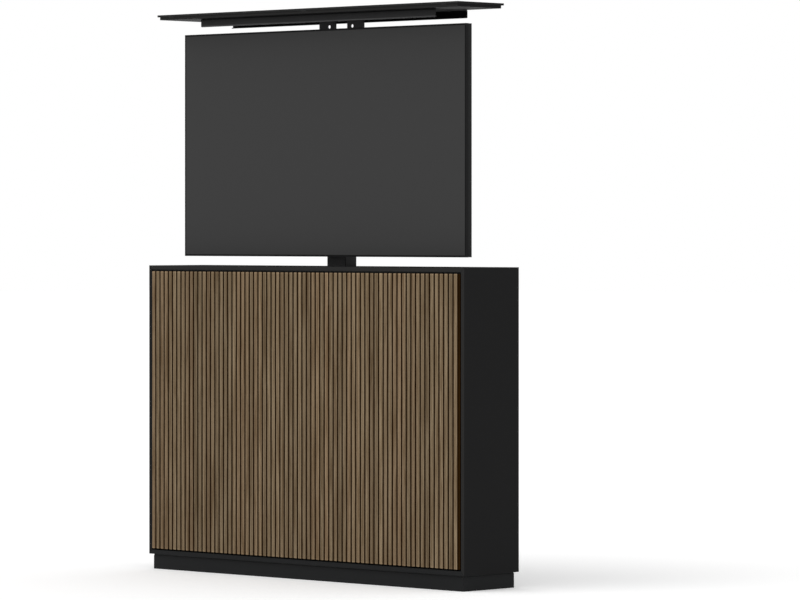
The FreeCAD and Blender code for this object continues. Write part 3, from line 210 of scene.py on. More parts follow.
def hexagon(flat, limit, count=48):
    """A hexagon cut by a circle: the flat's distance over the cosine, at most the limit."""
    half = pi / 6
    around = (np.arange(count) * tau / count + half) % (2 * half) - half
    across = np.abs(np.abs(around) - half)
    return circle(np.minimum(flat / np.cos(across), limit)[:, None], count)


def grid_faces(rows, columns, ring):
    """Quads between neighbours of a grid: point (r, c) has the number r * columns + c.

    The last column joins the first, and in a ring the last row joins the first as well.
    """
    r = np.arange(rows if ring else rows - 1)[:, None]
    c = np.arange(columns)[None, :]
    r_next = (r + 1) % rows
    c_next = (c + 1) % columns
    quads = np.stack([r * columns + c, r * columns + c_next,
                      r_next * columns + c_next, r_next * columns + c], axis=-1)
    return quads.reshape(-1, 4).tolist()


def loft(loops, levels, axis, ring=False):
    """Loop i of the stack lies at level i along the axis.

    Its two ends are closed flat, or in a ring the last loop joins the first.
    """
    loops = np.asarray(loops, float)
    rows, count = loops.shape[:2]
    along = np.repeat(np.asarray(levels, float)[:, None, None], count, axis=1)
    points = np.roll(np.concatenate([loops, along], axis=2), TURNS[axis], axis=-1)
    faces = grid_faces(rows, count, ring)
    if not ring:
        faces.append(list(range(count))[::-1])
        faces.append(list(range((rows - 1) * count, rows * count)))
    return points.reshape(-1, 3), faces


def turned(profile, centre, axis, count=40, ring=False):
    """Each (radius, height) of the profile sweeps a circle about the axis through centre."""
    profile = np.asarray(profile, float)
    points, faces = loft(circle(profile[:, :1, None], count), profile[:, 1], axis, ring)
    return points + np.asarray(centre, float), faces


def rounded_rectangle(sides, radius, inset=0.0, steps=4):
    """A quarter circle at each corner of a rectangle, which is first drawn in by the inset."""
    inward = np.array([1, 1, -1, -1])
    x0, y0, x1, y1 = np.asarray(sides) + inward * inset + inward * radius
    turn = pi / 2
    return np.concatenate([arc((x0, y0), radius, 2 * turn, 3 * turn, steps),
                           arc((x1, y0), radius, 3 * turn, 4 * turn, steps),
                           arc((x1, y1), radius, 0, turn, steps),
                           arc((x0, y1), radius, turn, 2 * turn, steps)])


def flat_ring(sides, outer, inner, low, high, axis, steps=4):
    """A ring from low to high between two outlines of a rectangle, each (inset, radius)."""
    outside, inside = (rounded_rectangle(sides, radius, inset, steps)
                       for inset, radius in (outer, inner))
    return loft([outside, outside, inside, inside], [low, high, high, low], axis, ring=True)


def plate(sides, radius, low, high, axis, ease):
    """A rounded rectangle carried from low to high, drawn in by the ease at the far end."""
    outline = rounded_rectangle(sides, radius)
    small = rounded_rectangle(sides, max(radius - ease, ease), ease)
    towards = np.sign(high - low) * ease
    return loft([outline, outline, small], [low, high - towards, high], axis)


def button_head(radius):
    """A dome with a six-sided socket: its radius goes with the cosine, its height with the sine."""
    count, rim = 24, 1.15
    angle = np.linspace(0, rim, 5)
    rise = 0.55 * radius
    top = rise * np.sin(rim)
    loops = list(circle(radius * np.cos(angle)[:, None, None], count))
    levels = list(rise * np.sin(angle))
    for reach, level in ((0.36, top), (0.32, top - 0.12 * radius), (0.30, 0.35 * top)):
        loops.append(hexagon(reach * radius, radius, count))
        levels.append(level)
    return loops, np.array(levels)


def screws(name, spots, axis, forward, radius, body, slot):
    """Button-head screws seated at the spots, their heads forward (1) or back (-1) on the axis."""
    loops, levels = button_head(radius)
    points, faces = loft(loops, levels * forward, axis)
    Shape(*((points + np.array(spot), faces) for spot in spots)).piece(name, body, slot)


def border_spots(node, edge, columns, rows):
    """Spots on a node's back, evenly spaced along its four edges and set in from them."""
    low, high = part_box(node)
    x = np.linspace(low.x + edge, high.x - edge, columns)
    z = np.linspace(low.z + edge, high.z - edge, rows)
    spots = [(across, high.y, level) for across in x for level in z[[0, -1]]]
    return spots + [(across, high.y, level) for across in x[[0, -1]] for level in z[1:-1]]


def round_corners(points, radius, steps=5):
    """A path whose inner corners are arcs that touch both of the lines that meet there."""
    points = np.asarray(points, float)
    path = [points[:1]]
    for before, corner, after in zip(points, points[1:], points[2:]):
        back = (before - corner) / np.linalg.norm(before - corner)
        on = (after - corner) / np.linalg.norm(after - corner)
        half = np.arccos(np.clip(back @ on, -1, 1)) / 2
        reach = radius / np.tan(half)
        centre = corner + (back + on) / np.linalg.norm(back + on) * radius / np.sin(half)
        start = corner + back * reach - centre
        end = corner + on * reach - centre
        first = np.arctan2(start[1], start[0])
        sweep = (np.arctan2(end[1], end[0]) - first + pi) % tau - pi
        path.append(arc(centre, radius, first, first + sweep, steps))
    path.append(points[-1:])
    return np.concatenate(path)


def folded_sheet(path, thickness, low, high, axis):
    """A folded sheet: each point of the path moves half the thickness to either side."""
    ahead = np.gradient(path, axis=0)
    ahead /= np.linalg.norm(ahead, axis=1)[:, None]
    side = np.stack([-ahead[:, 1], ahead[:, 0]], axis=1) * thickness / 2
    loop = np.concatenate([path - side, (path + side)[::-1]])
    count = len(loop)
    points, faces = loft([loop, loop], [low, high], axis)
    strip = np.arange(count // 2 - 1)
    near = np.stack([strip, count - 1 - strip, count - 2 - strip, strip + 1], axis=1)
    return points, faces[:-2] + near.tolist() + (near[:, ::-1] + count).tolist()


class Shape:
    """Surfaces gathered into one piece."""

    def __init__(self, *surfaces):
        self.points = []
        self.faces = []
        self.finishes = []
        self.values = {}
        self.count = 0
        for surface in surfaces:
            self.add(surface)

    def add(self, surface, finish=0, **values):
        """Add a surface; each value becomes an attribute of its points.

        The finish is the number of the piece's finish, one for all faces or one for each.
        """
        points, faces = surface
        self.points.append(np.asarray(points, float))
        self.faces += [[corner + self.count for corner in face] for face in faces]
        self.finishes.append(np.broadcast_to(finish, len(faces)))
        self.count += len(points)
        for name, value in values.items():
            self.values.setdefault(name, []).append(np.broadcast_to(value, len(points)))
        return self

    def mesh(self, name):
        """The mesh, its doubles merged and its faces turned outwards."""
        mesh = bpy.data.meshes.new(name)
        mesh.from_pydata(np.concatenate(self.points), [], self.faces)
        mesh.polygons.foreach_set("material_index", np.concatenate(self.finishes))
        for value_name, parts in self.values.items():
            layer = mesh.attributes.new(value_name, "FLOAT", "POINT")
            layer.data.foreach_set("value", np.concatenate(parts).astype(np.float32))
        tidy(mesh)
        return mesh

    def piece(self, name, body, slot):
        """Make the shape a piece of its own on a body."""
        return add_piece(name, self.mesh(name), body, slot)

    def stand_for(self, node, ending, *finishes):
        """Make the shape the piece that stands for a node."""
        return stand_for(node, ending, self.mesh(node + ending), *finishes)


def tidy(mesh, dissolve=False):
    """Merge doubles, join flat neighbours if asked, and turn the faces outwards."""
    work = bmesh.new()
    work.from_mesh(mesh)
    bmesh.ops.remove_doubles(work, verts=work.verts, dist=MERGE)
    if dissolve:
        bmesh.ops.dissolve_limit(work, angle_limit=FLAT, verts=work.verts, edges=work.edges)
    bmesh.ops.recalc_face_normals(work, faces=work.faces)
    work.to_mesh(mesh)
    work.free()
    mesh.shade_smooth()
    mesh.set_sharp_from_angle(angle=CREASE)


def add_piece(name, mesh, body, slot, *finishes):
    """Put a finished mesh in the scene, on its body, with its finishes."""
    piece = bpy.data.objects.new(name, mesh)
    bpy.context.scene.collection.objects.link(piece)
    for finish_name in finishes or (slot,):
        mesh.materials.append(finish(finish_name))
    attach(piece, body)
    return piece


def stand_for(node, ending, mesh, *finishes):
    """Put a mesh in a node's place, on the node's body and with its slot."""
    piece = add_piece(node + ending, mesh, BODY_OF[node], SLOT_OF[node], *finishes)
    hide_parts(node)
    return piece


def round_edges(piece, width, steps=2, edge_finish=False):
    """Round a piece's hard edges; they may carry the piece's second finish."""
    bevel = piece.modifiers.new("rounded edges", "BEVEL")
    bevel.width = width
    bevel.segments = steps
    bevel.limit_method = "ANGLE"
    bevel.angle_limit = CREASE
    bevel.harden_normals = True
    bevel.material = 1 if edge_finish else -1
    return piece


def eased(node, width, steps=2, edge=None, front=None, main=None):
    """A node's solid with rounded edges, which stands for the node.

    Its edges may carry a lighter finish, partly a painted highlight, and its faces towards
    the front a lighter finish, painted light.
    """
    mesh = NODES[node].data.copy()
    mesh.materials.clear()
    for layer in list(mesh.uv_layers):
        mesh.uv_layers.remove(layer)
    if "custom_normal" in mesh.attributes:
        mesh.attributes.remove(mesh.attributes["custom_normal"])
    tidy(mesh, dissolve=True)
    finishes = list(dict.fromkeys(filter(None, (main or SLOT_OF[node], edge, front))))
    if front:
        normals = np.empty(len(mesh.polygons) * 3)
        mesh.polygons.foreach_get("normal", normals)
        facing = normals.reshape(-1, 3)[:, 1] < FRONTWARD
        mesh.polygons.foreach_set("material_index", facing * finishes.index(front))
    piece = stand_for(node, "_eased", mesh, *finishes)
    return round_edges(piece, width, steps, edge is not None)


def middle_of(node):
    """The middle of a node's box."""
    low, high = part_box(node)
    return (low + high) / 2


# ---------------------------------------------------------------- finishes

class Nodes:
    """A tree of shader nodes, built up node by node."""

    def __init__(self, owner):
        owner.use_nodes = True
        self.nodes = owner.node_tree.nodes
        self.links = owner.node_tree.links

    def feed(self, socket, value):
        """Link a socket to another, or give it a constant."""
        if isinstance(value, bpy.types.NodeSocket):
            self.links.new(value, socket)
        elif socket.type == "RGBA":
            socket.default_value = (*value, 1.0)
        else:
            socket.default_value = value

    def node(self, kind, output, inputs, **settings):
        """Add a node with its settings and inputs, and give back one of its outputs."""
        made = self.nodes.new("ShaderNode" + kind)
        for key, value in settings.items():
            setattr(made, key, value)
        for key, value in inputs.items():
            self.feed(made.inputs[key], value)
        return made.outputs[output]

    def maths(self, operation, *values):
        """Arithmetic on one or two values."""
        return self.node("Math", 0, dict(enumerate(values)), operation=operation)

    def spread(self, value, low, high, from_low=0.0, from_high=1.0):
        """A value moved from one range to another."""
        return self.node("MapRange", "Result", {"Value": value, "To Min": low, "To Max": high,
                                                "From Min": from_low, "From Max": from_high})

    def seen(self):
        """1 for what the camera, a reflection or a clear piece shows, and 0 for light."""
        path = self.nodes.new("ShaderNodeLightPath")
        total = path.outputs["Is Camera Ray"]
        for name in ("Is Glossy Ray", "Is Transmission Ray"):
            total = self.maths("MAXIMUM", total, path.outputs[name])
        return total


class Finish(Nodes):
    """A material built up around one shader."""

    def __init__(self, specular=0.5, metallic=0.0):
        self.material = bpy.data.materials.new("finish")
        super().__init__(self.material)
        self.shader = self.nodes["Principled BSDF"]
        self.set("Specular IOR Level", specular)
        self.set("Metallic", metallic)
        self.normal = None

    def set(self, socket, value):
        """Set, or link, one of the shader's sockets."""
        self.feed(self.shader.inputs[socket], value)

    def place(self, scale=(1, 1, 1), source="Object"):
        """Where a point lies on the object, stretched along each axis."""
        where = self.node("TexCoord", source, {})
        return self.node("Mapping", "Vector", {"Vector": where, "Scale": scale})

    def along(self, where, axis):
        """How far a place lies along one axis."""
        return self.node("SeparateXYZ", axis, {"Vector": where})

    def noise(self, where, scale, detail=2.0, roughness=0.5, distortion=0.0):
        """Cloudy noise from 0 to 1."""
        return self.node("TexNoise", 0, {"Vector": where, "Scale": scale, "Detail": detail,
                                         "Roughness": roughness, "Distortion": distortion})

    def cells(self, where, scale):
        """Distance to the nearest of many scattered points."""
        return self.node("TexVoronoi", "Distance", {"Vector": where, "Scale": scale})

    def blend(self, factor, first, second, kind="MIX"):
        """A colour between two others."""
        return self.node("Mix", 2, {0: factor, 6: first, 7: second}, data_type="RGBA",
                         blend_type=kind)

    def colour(self, mask, first, second):
        """Give the shader a colour that goes from the first to the second with a mask."""
        self.set("Base Color", self.blend(mask, first, second))

    def tones(self, mask, colour, low, high):
        """Give the shader a colour times a factor that goes from low to high with a mask."""
        self.colour(mask, scaled(colour, low), scaled(colour, high))

    def roughen(self, mask, low, high):
        """Give the shader a roughness that goes from low to high with a mask."""
        self.set("Roughness", self.spread(mask, low, high))

    def bump(self, height, distance, strength=1.0):
        """Raise the surface by a height, on top of earlier bumps."""
        inputs = {"Height": height, "Distance": distance, "Strength": strength}
        if self.normal:
            inputs["Normal"] = self.normal
        self.normal = self.node("Bump", "Normal", inputs)
        self.set("Normal", self.normal)


def scaled(colour, factor):
    """A colour times a factor."""
    return tuple(part * factor for part in colour)


def lacquer(colour, roughness):
    """Sprayed lacquer: a faint orange peel, soft clouds of sheen and a few dust nibs."""
    made = Finish(specular=0.04)
    where = made.place()
    clouds = made.noise(where, 6.0, 3.0)
    nibs = made.spread(made.cells(where, 90.0), 1.0, 0.0, 0.0, 0.06)
    made.tones(clouds, colour, 0.92, 1.08)
    made.roughen(clouds, roughness - 0.05, roughness + 0.05)
    made.bump(made.noise(where, 260.0), 0.05 * MM, 0.5)
    made.bump(nibs, 0.02 * MM, 0.4)
    return made


def black_lacquer(settings):
    """Matte black lacquer on the boards."""
    return lacquer(settings.case.lacquer, 0.58)


def lacquer_edge(settings):
    """The same lacquer, lighter: thin on an eased edge with a painted highlight, painted light on
    the plinth.
    """
    return lacquer(settings.case.lacquer_edge, 0.42)


def lacquer_front(settings):
    """The same lacquer, a little lighter on the boards' front faces: painted light."""
    return lacquer(settings.case.lacquer_front, 0.52)


def black_hardboard(settings):
    """Pressed fibre: short hair-like streaks in two directions."""
    made = Finish(specular=0.2)
    upright = made.noise(made.place((40, 40, 700)), 1.0, 4.0)
    level = made.noise(made.place((700, 40, 40)), 1.0, 4.0)
    fibres = made.maths("MULTIPLY", upright, level)
    made.colour(fibres, (0.009, 0.009, 0.009), (0.022, 0.021, 0.020))
    made.roughen(fibres, 0.62, 0.82)
    made.bump(fibres, 0.08 * MM, 0.6)
    return made


def grained(made, where, light, dark, fibre_scale):
    """Wood grain: broad bands, fine fibres and short pores, all drawn out along the grain."""
    bands = made.noise(where, fibre_scale * 0.16, 3.0, 0.55, 0.6)
    fibres = made.noise(where, fibre_scale, 5.0, 0.7)
    pores = made.spread(made.noise(where, fibre_scale * 2.2), 1.0, 0.0, 0.62, 0.72)
    tone = made.maths("ADD", made.maths("MULTIPLY", bands, 0.65),
                      made.maths("MULTIPLY", fibres, 0.35))
    wood = made.blend(made.spread(tone, 0.0, 1.0, 0.39, 0.61), dark, light)
    return made.blend(pores, scaled(dark, 0.8), wood), fibres, pores


def walnut(settings):
    """Oiled walnut per slat: the slat's own tone, a painted highlight at its ends, painted shade on
    its sides.
    """
    front = settings.front
    made = Finish(specular=0.03)
    where = made.place((60, 1.8, 1), "UV")
    wood, fibres, pores = grained(made, where, front.light, front.dark, 12.0)
    tone, warmth, groove = (made.node("Attribute", "Fac", {}, attribute_name=name)
                            for name in ("tone", "warmth", "groove"))
    grey = made.node("CombineColor", 0, {"Red": tone, "Green": tone, "Blue": tone})
    wood = made.blend(1.0, wood, grey, "MULTIPLY")
    reddened = made.blend(1.0, wood, (1.04, 0.985, 0.965), "MULTIPLY")
    # Sides of the slats take the groove colour: painted shade in the grooves.
    made.colour(groove, made.blend(warmth, wood, reddened), front.groove_shade)
    made.roughen(fibres, 0.50, 0.68)
    made.bump(fibres, 0.12 * MM, 0.5)
    made.bump(pores, 0.10 * MM, 0.5)
    return made


def dark_backing(settings):
    """Stained board behind the slats, its grain upright."""
    backing = settings.front.backing
    made = Finish(specular=0.03)
    where = made.place((60, 60, 1.2))
    wood, fibres, _ = grained(made, where, scaled(backing, 1.3), scaled(backing, 0.75), 10.0)
    made.set("Base Color", wood)
    made.roughen(fibres, 0.6, 0.8)
    made.bump(fibres, 0.10 * MM, 0.5)
    return made


def softwood(pine):
    """Planed softwood with its grain along x; gives back the finish and the wood's colour."""
    made = Finish(specular=0.1)
    wood, fibres, _ = grained(made, made.place((1.5, 55, 55)), pine, scaled(pine, 0.62), 5.0)
    made.set("Base Color", wood)
    made.roughen(fibres, 0.55, 0.72)
    made.bump(fibres, 0.15 * MM, 0.5)
    return made, wood


def pine_batten(settings):
    """Bare softwood."""
    return softwood(settings.case.pine)[0]


def blackened_batten(settings):
    """Softwood, black on its front and where the shadow gaps above and below show it: painted
    shade.
    """
    made, wood = softwood(settings.case.pine)
    where = made.place()
    y, z = (made.along(where, axis) for axis in "YZ")
    cleats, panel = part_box("front_cleats"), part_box("front_panel")
    soft, reach = 0.2 * MM, 30 * MM
    front = cleats[0].y + settings.case.rounding * 1.5
    top, bottom = panel[1].z - reach, panel[0].z + reach
    behind = made.spread(y, 0.0, 1.0, front - soft, front + soft)
    below_top = made.spread(z, 1.0, 0.0, top - soft, top + soft)
    above_bottom = made.spread(z, 0.0, 1.0, bottom - soft, bottom + soft)
    bare = made.maths("MULTIPLY", behind, made.maths("MULTIPLY", below_top, above_bottom))
    # Black where the gaps show the batten: painted shade.
    made.colour(bare, scaled(settings.case.lacquer, 0.5), wood)
    return made


POWDER_GRAINS = 1100.0      # scale of the powder coat's grains


def powder_coat(powder, specular):
    """Fine-textured powder coat: tiny rounded grains over a slow waviness."""
    made = Finish(specular=specular)
    where = made.place()
    grains = made.cells(where, POWDER_GRAINS)
    clouds = made.noise(where, 18.0, 3.0)
    made.tones(clouds, powder, 0.85, 1.2)
    made.roughen(grains, 0.46, 0.62)
    made.bump(grains, 0.10 * MM, 0.55)
    made.bump(clouds, 0.15 * MM, 0.3)
    return made


def black_steel(settings):
    """The lift's powder coat."""
    return powder_coat(settings.metal.powder, 0.15)


def steel_front(settings):
    """The same powder coat on a column's front, lighter: painted light on a front in shade."""
    return powder_coat(scaled(settings.metal.powder, 2.0), 0.26)


def steel_inside(settings):
    """Powder coat on the inner faces of a fold, dull and nearly black: painted shade."""
    made = Finish(specular=0.04)
    grains = made.cells(made.place(), POWDER_GRAINS)
    # Nearly black: painted shade inside the fold.
    made.tones(grains, scaled(settings.metal.powder, 0.35), 1.0, 1.6)
    made.roughen(grains, 0.75, 0.9)
    made.bump(grains, 0.10 * MM, 0.5)
    return made


def steel_edge(settings):
    """Powder coat pulled thin over an edge, a little smoother, with lighter mottles: painted
    highlight.
    """
    made = Finish(specular=0.35)
    highlight_mottle = made.noise(made.place(), 120.0, 4.0)
    # Lighter mottles: a painted highlight.
    made.tones(highlight_mottle, settings.metal.powder, 1.0, 2.6)
    made.roughen(highlight_mottle, 0.34, 0.5)
    return made


def plated(colour, smooth, rough):
    """Metal with cloudy plating and fine scratches round the axis."""
    made = Finish(metallic=1.0)
    clouds = made.noise(made.place(), 90.0, 4.0)
    scratches = made.noise(made.place((60, 60, 2600)), 1.0, 3.0)
    made.tones(clouds, colour, 0.82, 1.1)
    made.roughen(scratches, smooth, rough)
    made.bump(scratches, 0.02 * MM, 0.4)
    return made


def zinc_steel(settings):
    """Zinc plating."""
    return plated(settings.metal.zinc, 0.30, 0.48)


def bright_steel(settings):
    """Ground and oiled steel."""
    return plated((0.60, 0.60, 0.61), 0.18, 0.34)


def bronze(settings):
    """Machined bronze."""
    return plated((0.45, 0.28, 0.11), 0.24, 0.42)


def cast_alloy(settings):
    """Die-cast alloy: a sandy skin with slow flow marks."""
    made = Finish(metallic=1.0)
    where = made.place()
    sand = made.noise(where, 700.0, 3.0)
    flow = made.noise(where, 35.0, distortion=1.5)
    made.colour(flow, (0.38, 0.39, 0.40), (0.50, 0.51, 0.52))
    made.roughen(sand, 0.42, 0.60)
    made.bump(sand, 0.06 * MM, 0.6)
    return made


def moulded(colour, grain, specular):
    """Moulded plastic: a spark-eroded grain and faint flow in the sheen."""
    made = Finish(specular=specular)
    where = made.place()
    flow = made.noise(where, 14.0, 3.0)
    made.tones(flow, colour, 0.88, 1.12)
    made.roughen(flow, 0.48, 0.60)
    made.bump(made.cells(where, grain), 0.07 * MM, 0.5)
    return made


def black_plastic(settings):
    """Black nylon and housings."""
    return moulded((0.010, 0.010, 0.010), 1300.0, 0.25)


def tv_plastic(settings):
    """The television's back cover."""
    return moulded((0.0070, 0.0070, 0.0070), 900.0, 0.14)


def felt(settings):
    """Pressed felt: matted fibres and a soft sheen."""
    made = Finish(specular=0.1)
    fibres = made.noise(made.place((500, 500, 900)), 1.0, 6.0, 0.8, 2.0)
    made.colour(fibres, (0.005, 0.005, 0.005), (0.022, 0.022, 0.022))
    made.set("Roughness", 0.95)
    made.set("Sheen Weight", 0.3)
    made.bump(fibres, 0.2 * MM, 0.8)
    return made


def brushed(dark, light, smooth, rough):
    """Black metal brushed along its width; gives back the finish and the brush strokes."""
    made = Finish(specular=0.1)
    strokes = made.noise(made.place((30, 1500, 1500)), 1.0, 3.0)
    made.colour(strokes, dark, light)
    made.roughen(strokes, smooth, rough)
    return made, strokes


def tv_frame(settings):
    """Satin black metal whose brush strokes can just be felt."""
    colour = settings.television.frame
    made, strokes = brushed(scaled(colour, 0.85), scaled(colour, 1.25), 0.34, 0.46)
    made.bump(strokes, 0.015 * MM, 0.4)
    return made


def tv_edge(settings):
    """The polished bevel round the television's frame, lighter than the frame: a painted highlight.
    """
    return brushed((0.0032, 0.0032, 0.0034), (0.0060, 0.0060, 0.0063), 0.26, 0.36)[0]


def tv_glass(settings):
    """Anti-glare screen: a faint etched sparkle, darker in a border round its edge.

    The border is where the distance from the middle passes half the size less the border.
    """
    television = settings.television
    low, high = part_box("tv_screen")
    made = Finish(specular=0.08)
    where = made.place()
    past = []
    for axis, start, end in (("X", low.x, high.x), ("Z", low.z, high.z)):
        off = made.maths("SUBTRACT", made.along(where, axis), (start + end) / 2)
        inside = (end - start) / 2 - television.border
        past.append(made.maths("SUBTRACT", made.maths("ABSOLUTE", off), inside))
    border = made.spread(made.maths("MAXIMUM", *past), 0.0, 1.0, 0.0, 0.3 * MM)
    sparkle = made.noise(where, 1500.0, 1.0)
    glass = made.blend(sparkle, scaled(television.glass, 0.97), scaled(television.glass, 1.03))
    made.colour(border, glass, scaled(television.frame, 0.4))
    made.roughen(sparkle, 0.40, 0.46)
    return made


FINISHES = {make.__name__: make for make in (
    black_lacquer, lacquer_edge, lacquer_front, black_hardboard, walnut, dark_backing,
    pine_batten, blackened_batten, black_steel, steel_front, steel_edge, steel_inside,
    zinc_steel, bright_steel, bronze, cast_alloy, black_plastic, tv_plastic, felt, tv_frame,
    tv_edge, tv_glass)}


def finish(name):
    """The named finish, made when first asked for."""
    made = bpy.data.materials.get("finish " + name)
    if made is None:
        made = FINISHES[name](bpy.context.scene.lift_cabinet).material
        made.name = "finish " + name
    return made


# ---------------------------------------------------------------- operators

class CABINET_OT_stage(bpy.types.Operator):
    """Make the floor, the light and the camera."""
    bl_idname = "lift_cabinet.stage"
    bl_label = "Stage"

    floor_half = 60.0           # from the floor's middle to its side, in metres
    camera_reach = 500.0        # how far the camera sees, in metres

    def execute(self, context):
        for build in (self.floor, self.sky, self.lamp, self.camera):
            build(context.scene, context.scene.lift_cabinet.stage)
        context.scene.view_settings.view_transform = "Standard"
        return {"FINISHED"}

    def floor(self, scene, stage):
        """A plain square that keeps the object's shadow and shows white."""
        half = self.floor_half
        corners = np.array([(-half, -half, 0), (half, -half, 0), (half, half, 0), (-half, half, 0)])
        mesh = bpy.data.meshes.new("studio_floor")
        mesh.from_pydata(corners, [], [(0, 1, 2, 3)])
        floor = bpy.data.objects.new("studio_floor", mesh)
        scene.collection.objects.link(floor)
        material = bpy.data.materials.new("studio floor")
        tree = Nodes(material)
        tree.nodes.clear()
        paint = tree.node("BsdfDiffuse", 0, {"Color": (stage.floor_grey,) * 3})
        shown = tree.maths("MULTIPLY", tree.seen(), stage.floor_glow)
        glow = tree.node("Emission", 0, {"Strength": shown})
        both = tree.node("AddShader", 0, {0: paint, 1: glow})
        output = tree.nodes.new("ShaderNodeOutputMaterial")
        tree.feed(output.inputs["Surface"], both)
        mesh.materials.append(material)

    def sky(self, scene, stage):
        """Even light from all round that shows as white."""
        scene.world = bpy.data.worlds.new("studio")
        tree = Nodes(scene.world)
        background = tree.nodes["Background"]
        tree.feed(background.inputs["Color"], (1, 1, 1))
        tree.feed(background.inputs["Strength"], tree.spread(tree.seen(), stage.sky, 1.0))

    def lamp(self, scene, stage):
        """A broad soft lamp from above the front left."""
        light = bpy.data.lights.new("soft_lamp", "SUN")
        light.energy = stage.lamp
        light.angle = stage.lamp_size
        lamp = bpy.data.objects.new("soft_lamp", light)
        scene.collection.objects.link(lamp)
        lamp.rotation_euler = (stage.lamp_tilt, 0, -stage.lamp_turn)

    def camera(self, scene, stage):
        """A level camera with a long lens; its shift frames the whole object."""
        camera = bpy.data.cameras.new("camera")
        camera.sensor_width = SENSOR
        camera.lens = SENSOR * FOCAL_PIXELS / PICTURE_WIDTH
        camera.shift_y = (HORIZON_ROW - PICTURE_HEIGHT / 2) / PICTURE_WIDTH
        camera.clip_end = self.camera_reach
        eye = bpy.data.objects.new("camera", camera)
        scene.collection.objects.link(eye)
        eye.location = stage.eye
        eye.rotation_euler = (radians(90), 0, stage.heading)
        scene.camera = eye


class CABINET_OT_case(bpy.types.Operator):
    """Ease the boards of the case and finish the battens inside it."""
    bl_idname = "lift_cabinet.case"
    bl_label = "Case"

    def execute(self, context):
        width = context.scene.lift_cabinet.case.rounding
        # Lighter front faces are painted light; lighter edges are partly a painted highlight.
        for node, front in (("left_side", None), ("right_side", "lacquer_front"),
                            ("top_board", "lacquer_front"), ("bottom_board", "lacquer_edge")):
            eased(node, width, edge="lacquer_edge", front=front)
        # The whole plinth is in the lighter edge lacquer: painted light.
        for node in ("plinth_front", "plinth_back", "plinth_left", "plinth_right"):
            eased(node, width, main="lacquer_edge")
        eased("back_panel", width / 4)
        for node in ("cable_grommet", "plinth_blocks", "upper_rail", "lower_rail"):
            eased(node, width)
        eased("front_cleats", width, main="blackened_batten")
        self.joint_shade_strip()
        self.gap_shade_seal()
        self.back_screws()
        return {"FINISHED"}

    @staticmethod
    def joint_shade_strip():
        """A dark felt strip in the joint over the plinth, painted shade: a rectangle's outline
        carried upwards.
        """
        low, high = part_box("plinth_front")[0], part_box("plinth_back")[1]
        joint, set_back, inside, corner = 4 * MM, 1.2 * MM, 6 * MM, 0.5 * MM
        strip = flat_ring((low.x, low.y, high.x, high.y), (set_back, corner), (inside, corner),
                          high.z - joint, high.z, "Z", 1)
        Shape(strip).piece("plinth_joint_strip", "root", "felt")

    @staticmethod
    def gap_shade_seal():
        """A felt strip deep in the gap over the panel, painted shade: a rounded bar from its top to
        the board.
        """
        low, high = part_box("front_panel")
        ends, set_back, deep, ease = 5 * MM, 7 * MM, 3 * MM, 0.1 * MM
        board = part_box("top_board")[0].z
        strip = plate((high.z, low.x - ends, board, high.x + ends), ease,
                      low.y + set_back + deep, low.y + set_back, "Y", ease)
        Shape(strip).piece("top_gap_seal", "root", "felt")

    @staticmethod
    def back_screws():
        """Screws round the back panel, evenly spaced along its edges."""
        edge, groove = 12 * MM, 6 * MM
        spots = border_spots("back_panel", groove + edge, 9, 6)
        screws("back_panel_screws", spots, "Y", 1, 3.5 * MM, "root", "zinc_steel")


